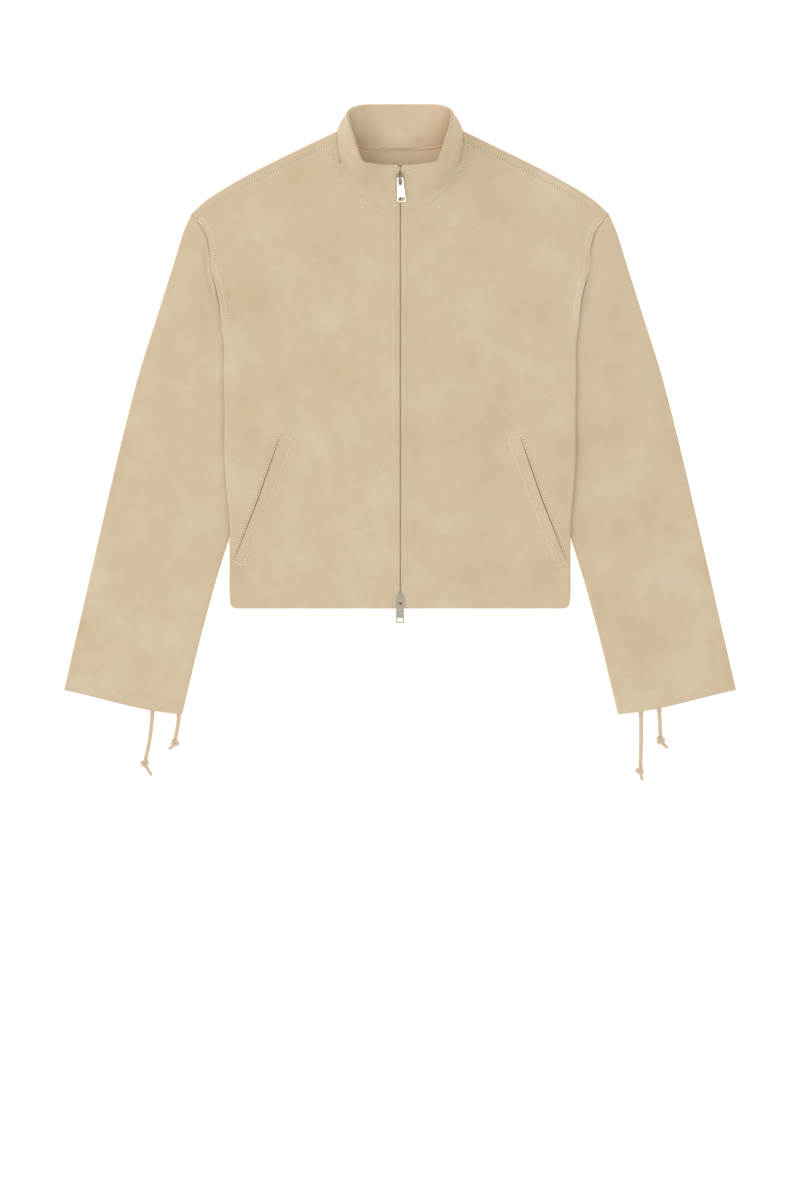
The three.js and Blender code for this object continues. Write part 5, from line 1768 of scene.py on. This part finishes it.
@dataclass
class PullTab:
    """A pull: a flat plate with a slot for its bar and a window at its far end.

    Distances along it start at the bar's end.

    Attributes:
        edge: rounding of all its edges.
        length, thickness: its size.
        half: half its width at the bar's end and at the far end.
        corner: radius of its corners in plan.
        slot, window: start, end and half the width of each hole.
        window_corner: radius of the window's corners.
    """

    edge: float
    length: float = 31
    thickness: float = 1.2
    half: Pair = (3.75, 5.1)
    corner: float = 1.6
    slot: Triple = (1.3, 9.8, 2.15)
    window: Triple = (25, 29.6, 3.7)
    window_corner: float = 1.2

    def plan(self) -> tuple[Array, Array]:
        """The plate's plan as rows of four points: both outer edges and both hole edges.

        Each round corner is a quarter circle, so at a distance d from its start the
        edge is in by r - sqrt(r^2 - (r - d)^2).

        Returns:
            Points (rows, 4, 2) as X and distance up, and the quads between them as
            point numbers.
        """

        def drop(d: Array, radius: float) -> Array:
            """How far a round corner is in at the distance d from its start."""
            return radius - np.sqrt(radius**2 - (radius - np.clip(d, 0, radius)) ** 2)

        ease = 1 - np.cos(np.radians([0, 22.5, 45, 67.5, 90]))
        first, last, slot_half = self.slot
        start, end, window_half = self.window
        stops = [self.corner * ease, self.length - self.corner * ease, [first], last - slot_half * ease]
        stops += [start + self.window_corner * ease, end - self.window_corner * ease]
        s = np.unique(np.round(np.concatenate(stops), 4))
        wide = np.interp(s, [self.corner, self.length - self.corner], self.half)
        wide = wide - drop(np.minimum(s, self.length - s), self.corner)
        short = window_half - self.window_corner
        stations = [0, first, last, start, end, self.length]
        hole = np.interp(s, stations, [1.2, slot_half, 0, short, short, 2.2])
        in_slot, in_window = (s >= first) & (s <= last), (s >= start) & (s <= end)
        hole = np.where(in_slot, slot_half - drop(last - s, slot_half), hole)
        in_by = drop(np.minimum(s - start, end - s), self.window_corner)
        hole = np.where(in_window, window_half - in_by, hole)
        x = np.stack([-wide, -hole, hole, wide], axis=-1)
        number = np.arange(x.size).reshape(x.shape)
        number[:, 2] = np.where(hole < 1e-3, number[:, 1], number[:, 2])
        above, below = number[:-1], number[1:]
        quads = np.stack([above[:, :-1], below[:, :-1], below[:, 1:], above[:, 1:]], axis=-1)
        solid = np.ones(quads.shape[:2], bool)
        solid[:, 1] = ~((in_slot[:-1] & in_slot[1:]) | (in_window[:-1] & in_window[1:]))
        return np.stack([x, np.broadcast_to(-s[:, None], x.shape)], axis=-1).reshape(-1, 2), quads[solid]

    def plate(self) -> tuple[Array, Array]:
        """The plate with round edges: its plan at eight heights.

        A border point moves in by its mitre times e (1 - sin b) while the height
        falls by e (1 - cos b), for b from 0 to 90 degrees and back.

        Returns:
            Points as X, distance up and height, and quads.
        """
        plan, quads = self.plan()
        tails, heads = quads.reshape(-1), np.roll(quads, -1, axis=1).reshape(-1)
        count = len(plan)
        border = (tails != heads) & ~np.isin(tails * count + heads, heads * count + tails)
        tails, heads = tails[border], heads[border]
        along = unit(plan[heads] - plan[tails])
        out = np.stack([along[:, 1], -along[:, 0]], axis=-1)
        total = np.zeros((count, 2))
        np.add.at(total, tails, out)
        np.add.at(total, heads, out)
        mitre = total * 2 / np.maximum((total**2).sum(axis=1), 1e-9)[:, None]
        turn = np.radians([0, 30, 60, 90])
        inset = self.edge * (1 - np.sin(turn))
        high = self.thickness / 2 - self.edge * (1 - np.cos(turn))
        inset, high = np.concatenate([inset, inset[::-1]]), np.concatenate([high, -high[::-1]])
        flat = plan - mitre * inset[:, None, None]
        points = np.concatenate([flat, np.broadcast_to(high[:, None, None], (8, count, 1))], axis=-1)
        step = np.arange(7)[:, None] * count
        sides = np.stack([heads + step, tails + step, tails + step + count, heads + step + count], axis=-1)
        faces = np.vstack([quads, quads[:, ::-1] + 7 * count, sides.reshape(-1, 4)])
        used, same = np.unique(faces, return_inverse=True)
        return points.reshape(-1, 3)[used], same.reshape(-1, 4)

    def build(self, node: str, name: str, body: str, look: Look, slot: Slot) -> None:
        """Lays the plate along its solid: the solid's longest, widest and thinnest ways.

        Args:
            node: the solid that it replaces.
            name: the piece's name.
            body: the body that it rides on.
            look, slot: its finish.
        """
        solid = np.unique(np.round(solid_points(node), 3), axis=0)
        _, _, ways = np.linalg.svd(solid - solid.mean(axis=0))
        up = ways[0] * np.sign(ways[0, 1])
        out = ways[2] * np.sign(ways[2, 2])
        across = np.cross(up, out)
        places = solid @ np.stack([across, up, out], axis=-1)
        low, high = places.min(axis=0), places.max(axis=0)
        middle = (low + high) / 2
        points, faces = self.plate()
        spot = across * middle[0] + up * high[1] + out * middle[2]
        piece = Mesh().add(points @ np.stack([across, up, out]) + spot, faces).build(name, weld=0.002)
        piece.modifiers.new("flat faces", "WEIGHTED_NORMAL")
        place(piece, look, slot, [node], body)


@dataclass
class Zip:
    """The two-way zip: tapes, teeth, sliders and pulls.

    Attributes:
        tape_width, tape_thickness: section of each tape.
        depth: depth of its middle under the middle of the cloth.
        collar_drop: how much deeper it lies behind the collar.
        hem_setback, top_setback: distances of its ends from the hem and the top edge.
        pitch: distance between the teeth of one side.
        tooth: size of a tooth along, across and up.
        teeth_x: X of the line on which they meet, under the left front's edge.
        teeth_lift: height of the teeth over the tape.
        edge: rounding of the sliders' and pulls' edges.
        flat: size of a tape's cut, in metres.
    """

    tape_width: float = 11
    tape_thickness: float = 0.8
    depth: float = 1.3
    collar_drop: float = 0.6
    hem_setback: float = 2.5
    top_setback: float = 1.5
    pitch: float = 3.2
    tooth: Triple = (1.5, 2.9, 1.5)
    teeth_x: float = -0.6
    teeth_lift: float = 0.62
    edge: float = 0.28
    flat: Pair = (0.0105, 0.525)

    def rail(self, count: int) -> tuple[Array, Array]:
        """The middle of the zip at the middle of the cloth: points and normals."""
        base = np.array([0, COLLAR_ROWS[0][1], COLLAR_ROWS[0][2]])
        top = np.array([0, COLLAR_ROWS[0][4], COLLAR_ROWS[0][5]])
        up = unit(top - base)
        out = np.array([0, -up[2], up[1]])
        y = np.concatenate([[HEM_Y + self.hem_setback], np.linspace(-150, 245, 60)])
        flat = np.stack([0 * y, y, LIE.front(0 * y, y)], axis=-1)
        bend = unit(out + np.array([0, 0, 1.0]))
        along = np.array([5, 20, np.linalg.norm(top - base) - self.top_setback])[:, None]
        points = np.vstack([flat, base - bend * self.collar_drop, base + up * along - out * self.collar_drop])
        normals = np.vstack([np.tile([0, 0, 1.0], (len(y), 1)), bend, np.tile(out, (3, 1))])
        run = run_of(points)
        even = np.linspace(0, run[-1], count)
        return read_along(even, run, points), unit(read_along(even, run, normals))

    def tape(self, side: Side) -> Mesh:
        """One tape: its width carried along the zip, with a rounded edge bead."""
        line, normal = self.rail(260)
        bead = [[1.2, 0.25], [1.5, 0.55], [1.9, 0.3], [2.6, 0.0]]
        profile = np.array([*bead, [6, 0.0], [self.tape_width - 0.5, 0.0]])
        grid = line[:, None] + normal[:, None] * (profile[:, 1] - self.depth)[None, :, None]
        grid[..., 0] = side.value * profile[:, 0]
        if side is Side.LEFT:
            grid = grid[:, ::-1]
        return Mesh().add_wall(grid, self.tape_thickness)

    def teeth(self, side: Side) -> Mesh:
        """The teeth of one side: blocks with rounded heads, half a pitch from the other's.

        Each is a profile of its plan, narrow at the head, at four heights.
        """
        line, normal = self.rail(1200)
        run = run_of(line)
        first = self.pitch / 2 * (side is Side.LEFT)
        places = np.arange(first + 1.2, run[-1] - 1, self.pitch)
        count = len(places)
        at, up = read_along(places, run, line), unit(read_along(places, run, normal))
        ahead = unit(np.cross(up, np.array([1.0, 0, 0])))
        long, wide, high = self.tooth
        foot = [[2.1, -0.36], [2.1, 0.36]]
        head = [[0.2, 0.5], [-0.55, 0.42], [-0.8, 0], [-0.55, -0.42], [0.2, -0.5]]
        plan = np.array(foot + head) * [wide / 2.9, long]
        shrink = np.array([0.8, 1, 1, 0.72])
        rise = np.array([-0.5, -0.32, 0.3, 0.5]) * high
        middle = plan.mean(axis=0)
        layers = middle + (plan - middle)[None] * shrink[:, None, None]
        x = side.value * layers[..., 0]
        shape = (x + self.teeth_x)[..., None] * np.array([1.0, 0, 0])
        points = at[:, None, None] + shape[None] + ahead[:, None, None] * layers[None, ..., 1:2]
        points = points + up[:, None, None] * (rise[None, :, None, None] - self.depth + self.teeth_lift)
        corners, size = len(plan), layers.shape[0] * len(plan)
        walls = grid_quads(len(rise), corners, closed=True)
        fan = np.array([[0, i, i + 1] for i in range(1, corners - 1)])
        caps = np.vstack([fan, fan[:, ::-1] + size - corners])
        if side is Side.RIGHT:
            walls = walls[:, ::-1]
        else:
            caps = caps[:, ::-1]
        mesh = Mesh().add(points, repeated(walls, count, size))
        mesh.faces.append(repeated(caps, count, size))
        return mesh

    def slider(self, node: str, name: str, look: Look, slot: Slot) -> None:
        """A slider: its solid's own form with rounded edges.

        Args:
            node: the solid that it copies and replaces.
            name: the piece's name.
            look, slot: its finish.
        """
        faces = np.array([list(p.vertices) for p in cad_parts[node].data.polygons])
        piece = Mesh().add(solid_points(node), faces).build(name, weld=0.002)
        round_ = piece.modifiers.new("rounded edges", "BEVEL")
        round_.width = self.edge * MM
        round_.segments = 3
        round_.angle_limit = np.radians(35)
        round_.harden_normals = True
        place(piece, look, slot, [node])

    def build(self, looks: Looks) -> None:
        """Builds and dresses the zip."""
        for side in Side:
            tape = self.tape(side).build(f"zip_tape_strip_{side.word}")
            place(tape, looks.tape, Slot.TAPE, [f"zip_tape_{side.word}"])
            place(self.teeth(side).build(f"zip_teeth_{side.word}"), looks.teeth, Slot.BRIGHT, [])
        # The upper slider, bright metal, takes the darker copy: painted shade under its pull.
        self.slider("slider_top", "top_slider_body", looks.shade, Slot.BRIGHT)
        self.slider("slider_bottom", "bottom_slider_body", looks.nickel, Slot.NICKEL)
        tab = PullTab(self.edge)
        tab.build("pull_top", "top_pull_tab", "top_pull", looks.bright, Slot.BRIGHT)
        tab.build("pull_bottom", "bottom_pull_tab", "bottom_pull", looks.nickel, Slot.NICKEL)


@dataclass(frozen=True)
class Drawcord:
    """One free end of a cuff's drawstring, with its knot and the tail beyond it.

    Attributes:
        name: its place, as in the node names.
        route: X, Y, Z from between the cuff's layers to its knot.
        knot: X and Y of the knot's centre.
        tail: X and Y of the tail's middle and end.
        roll: turn of the knot about its own axis, in degrees.
    """

    name: str
    route: list[Triple]
    knot: Pair
    tail: list[Pair]
    roll: float


DRAWCORDS = [
    Drawcord(
        "left_outer",
        [
            (-295.6, -350, 3.6), (-296.2, -356, 3.6), (-297, -363, 3.3), (-297.5, -370, 2.7),
            (-298.2, -378.3, 2.55), (-299.2, -387, 2.55), (-300.4, -396.3, 2.55), (-302.2, -406, 2.55),
            (-304.2, -415, 2.8), (-305.6, -421, 3.8),
        ],
        (-306, -424.5), [(-302.4, -431.4), (-297.8, -439.3)], 20,
    ),
    Drawcord(
        "left_inner",
        [
            (-264.6, -352, 3.6), (-264.8, -358, 3.6), (-265, -365, 3.3), (-265.6, -372, 2.7),
            (-266.4, -378.3, 2.55), (-267.6, -385, 2.6), (-268.8, -391, 3), (-269.6, -396, 3.8),
        ],
        (-270, -399.6), [(-274, -405), (-278, -407.4)], 75,
    ),
    Drawcord(
        "right_inner",
        [
            (289, -348, 3.6), (289, -355, 3.6), (289, -363.3, 3.2), (289.1, -372, 2.6),
            (289.2, -384.3, 2.55), (289.1, -396, 2.55), (288.9, -408.3, 2.55), (288.6, -420, 2.6),
            (288.2, -428.5, 3.6),
        ],
        (287.6, -432.9), [(289.4, -440), (291, -445)], 40,
    ),
    Drawcord(
        "right_outer",
        [
            (310, -344, 3.6), (310.4, -351, 3.6), (310.8, -359, 3.3), (311.2, -366, 2.6),
            (311.6, -374, 2.55), (312, -383, 2.6), (312.3, -389, 3), (312.3, -393, 3.8),
        ],
        (312.2, -396.4), [(316.6, -401.8), (321.6, -406.5)], 100,
    ),
]


@dataclass
class Cords:
    """The drawcords of the cuffs, braided, with tight overhand knots.

    Attributes:
        diameter, tail_diameter: their thickness.
        strands: strands each way round the braid.
        lay: length along the cord in which a strand goes once round.
        depth: depth of the gaps between strands, as a share of the radius.
        knot_z: height of a knot's centre.
        knot_size: sizes of a knot across, along and up over those of its formula.
        tail_z: heights of a tail at the knot, its middle and its end.
        sides: points round a cord.
        step: distance between its rings.
    """

    diameter: float = 5.0
    tail_diameter: float = 4.0
    strands: int = 4
    lay: float = 11.0
    depth: float = 0.2
    knot_z: float = 4.6
    knot_size: Triple = (1.22, 1.3, 2.1)
    tail_z: Triple = (3.5, 2.4, 1.9)
    sides: int = 36
    step: float = 0.35

    def tube(self, mesh: Mesh, path: Array, diameter: float, closed: bool = False) -> None:
        """Adds a braided tube along a path.

        The radius rises and falls with the higher of two families of helices that
        wind opposite ways, so strands cross over each other. An open tube ends in a
        point at each end.

        Args:
            mesh: the mesh that it joins.
            path: its centres.
            diameter: its thickness over the strands.
            closed: whether the path is a loop.
        """
        if closed:
            tangent = unit(np.roll(path, -1, axis=0) - np.roll(path, 1, axis=0))
        else:
            tangent = unit(np.gradient(path, axis=0))
        across = unit(np.cross(tangent, np.array([0.05, 0.02, 1.0])))
        up = np.cross(across, tangent)
        run = run_of(path)[:, None]
        angle = (np.arange(self.sides) / self.sides * TURN)[None]
        wind = TURN * run / self.lay
        one = np.cos(self.strands * (angle + wind))
        two = np.cos(self.strands * (angle - wind))
        strand = np.clip(np.maximum(one, two) * 0.5 + 0.5, 0, 1) ** 0.6
        radius = diameter / 2 * (1 - self.depth * (1 - strand))
        if not closed:
            end = np.minimum(run, run[-1] - run) / (diameter / 2)
            radius = radius * np.sqrt(np.clip(1 - (1 - np.clip(end, 0, 1)) ** 2, 0.0004, 1))
        ring = np.cos(angle)[..., None] * across[:, None] + np.sin(angle)[..., None] * up[:, None]
        grid = path[:, None] + ring * radius[..., None]
        if closed:
            grid = np.concatenate([grid, grid[:1]])
            strand = np.concatenate([strand, strand[:1]])
        # The marks carry the gaps between strands, where the braid's material paints shade.
        mesh.add_grid(grid[:, ::-1], closed=True, marks=strand[:, ::-1])

    def knot(self, cord: Drawcord) -> Mesh:
        """A tight overhand knot and its tail.

        The knot is a trefoil: a loop that goes twice round its centre while it rises
        and falls three times, pressed to the size of its solid.
        """
        t = np.arange(260) / 260 * TURN
        x = (np.sin(t) + 2 * np.sin(2 * t)) * self.knot_size[0]
        y = (np.cos(t) - 2 * np.cos(2 * t)) * self.knot_size[1]
        z = -np.sin(3 * t) * self.knot_size[2]
        c, s = np.cos(np.radians(cord.roll)), np.sin(np.radians(cord.roll))
        path = np.stack([x * c - y * s, x * s + y * c, z], axis=-1)
        mesh = Mesh()
        centre = np.array([*cord.knot, self.knot_z])
        self.tube(mesh, path + centre, self.tail_diameter, closed=True)
        rows = [(*xy, z) for xy, z in zip([cord.knot, *cord.tail], self.tail_z)]
        self.tube(mesh, Line(rows).at(shares(60)), self.tail_diameter)
        return mesh

    def build(self, looks: Looks) -> None:
        for cord in DRAWCORDS:
            line = Line(cord.route)
            path = line.at(shares(max(60, int(line.length / self.step))))
            mesh = Mesh()
            self.tube(mesh, path, self.diameter)
            piece = mesh.build(f"drawcord_{cord.name}")
            place(piece, looks.braid, Slot.CORD, [f"cord_{cord.name}"])
            knot = self.knot(cord).build(f"overhand_knot_{cord.name}")
            place(knot, looks.braid, Slot.CORD, [f"knot_{cord.name}"])
            route = [(p * MM).tolist() for p in line.at(shares(40))]
            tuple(route[0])


@dataclass
class Studio:
    """Pale floor, soft light and the camera straight above the jacket.

    Attributes:
        view_y: Y that the frame's centre looks at, in metres.
        frame_height: height of the frame on the floor, in metres.
        lens, sensor: focal length of the camera and width of its sensor.
        sky: strength of the even white light.
        key, fill: strengths of the large soft lamp and of the one opposite it.
        floor_glow: light that the pale floor gives off itself.
        floor_half, floor_drop: half the floor's width and its depth below the jacket.
    """

    view_y: float = -0.2283
    frame_height: float = 1.44
    lens: float = 135
    sensor: float = 36
    sky: float = 0.82
    key: float = 15
    fill: float = 12.75
    floor_glow: float = 0.35
    floor_half: float = 30000
    floor_drop: float = 0.05

    def build(self) -> None:
        """Sets up the floor, the lights and the camera."""
        scene = bpy.context.scene
        self.floor()
        world = bpy.data.worlds.new("studio")
        scene.world = world
        world.use_nodes = True
        sky = world.node_tree.nodes["Background"]
        sky.inputs[0].default_value = (1, 1, 1, 1)
        sky.inputs[1].default_value = self.sky
        self.lamp("key", (-1.9, 1.5, 1.7), 1.3, self.key)
        self.lamp("fill", (0.2, -2.3, 2.1), 2.4, self.fill)
        data = bpy.data.cameras.new("camera")
        data.lens = self.lens
        data.sensor_width = self.sensor
        camera = bpy.data.objects.new("camera", data)
        camera.location = (0, self.view_y, self.frame_height * self.lens / self.sensor)
        scene.collection.objects.link(camera)
        scene.camera = camera
        scene.view_settings.view_transform = "Standard"

    def floor(self) -> None:
        """A wide plain floor just under the jacket."""
        square = np.array([[[-1, -1, 0], [1, -1, 0]], [[-1, 1, 0], [1, 1, 0]]])
        corners = square * self.floor_half - [0, 0, self.floor_drop]
        floor = Mesh().add_grid(corners).build("floor")
        look = Look("floor_pale")
        look.feed(Base_Color=(0.96, 0.96, 0.96, 1), Roughness=0.9, Specular_IOR_Level=0.1)
        look.feed(Emission_Color=(1, 1, 1, 1), Emission_Strength=self.floor_glow)
        floor.data.materials.append(look.material)
        floor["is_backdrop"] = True

    def lamp(self, name: str, spot: Triple, size: float, power: float) -> None:
        """A large square lamp that points at the jacket."""
        data = bpy.data.lights.new(name, "AREA")
        data.size = size
        data.energy = power
        lamp = bpy.data.objects.new(name, data)
        lamp.location = spot
        aim = np.array(spot)
        lamp.rotation_euler = (np.arctan2(np.hypot(aim[0], aim[1]), aim[2]), 0, np.arctan2(aim[0], -aim[1]))
        bpy.context.scene.collection.objects.link(lamp)


def write_sizes() -> None:
    """Gathers the solids' box and the dressed box side by side as plain lists."""
    boxes = {"cad": CAD_BOX, "visual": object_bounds()}
    plain = {key: [[float(v) for v in corner] for corner in box] for key, box in boxes.items()}


def main() -> None:
    """Builds the jacket piece by piece."""
    logging.basicConfig(level=logging.INFO, format="%(name)s: %(message)s")
    Studio().build()
    looks = make_looks()
    Cords().build(looks)
    body, collar, welts = Body(), Collar(), Welts()
    body.build(looks)
    Sleeves().build(looks, body)
    collar.build(looks)
    welts.build(looks, body)
    Zip().build(looks)
    Sewing().build(looks, body, welts, collar)
    write_sizes()


if __name__ == "__main__":
    main()
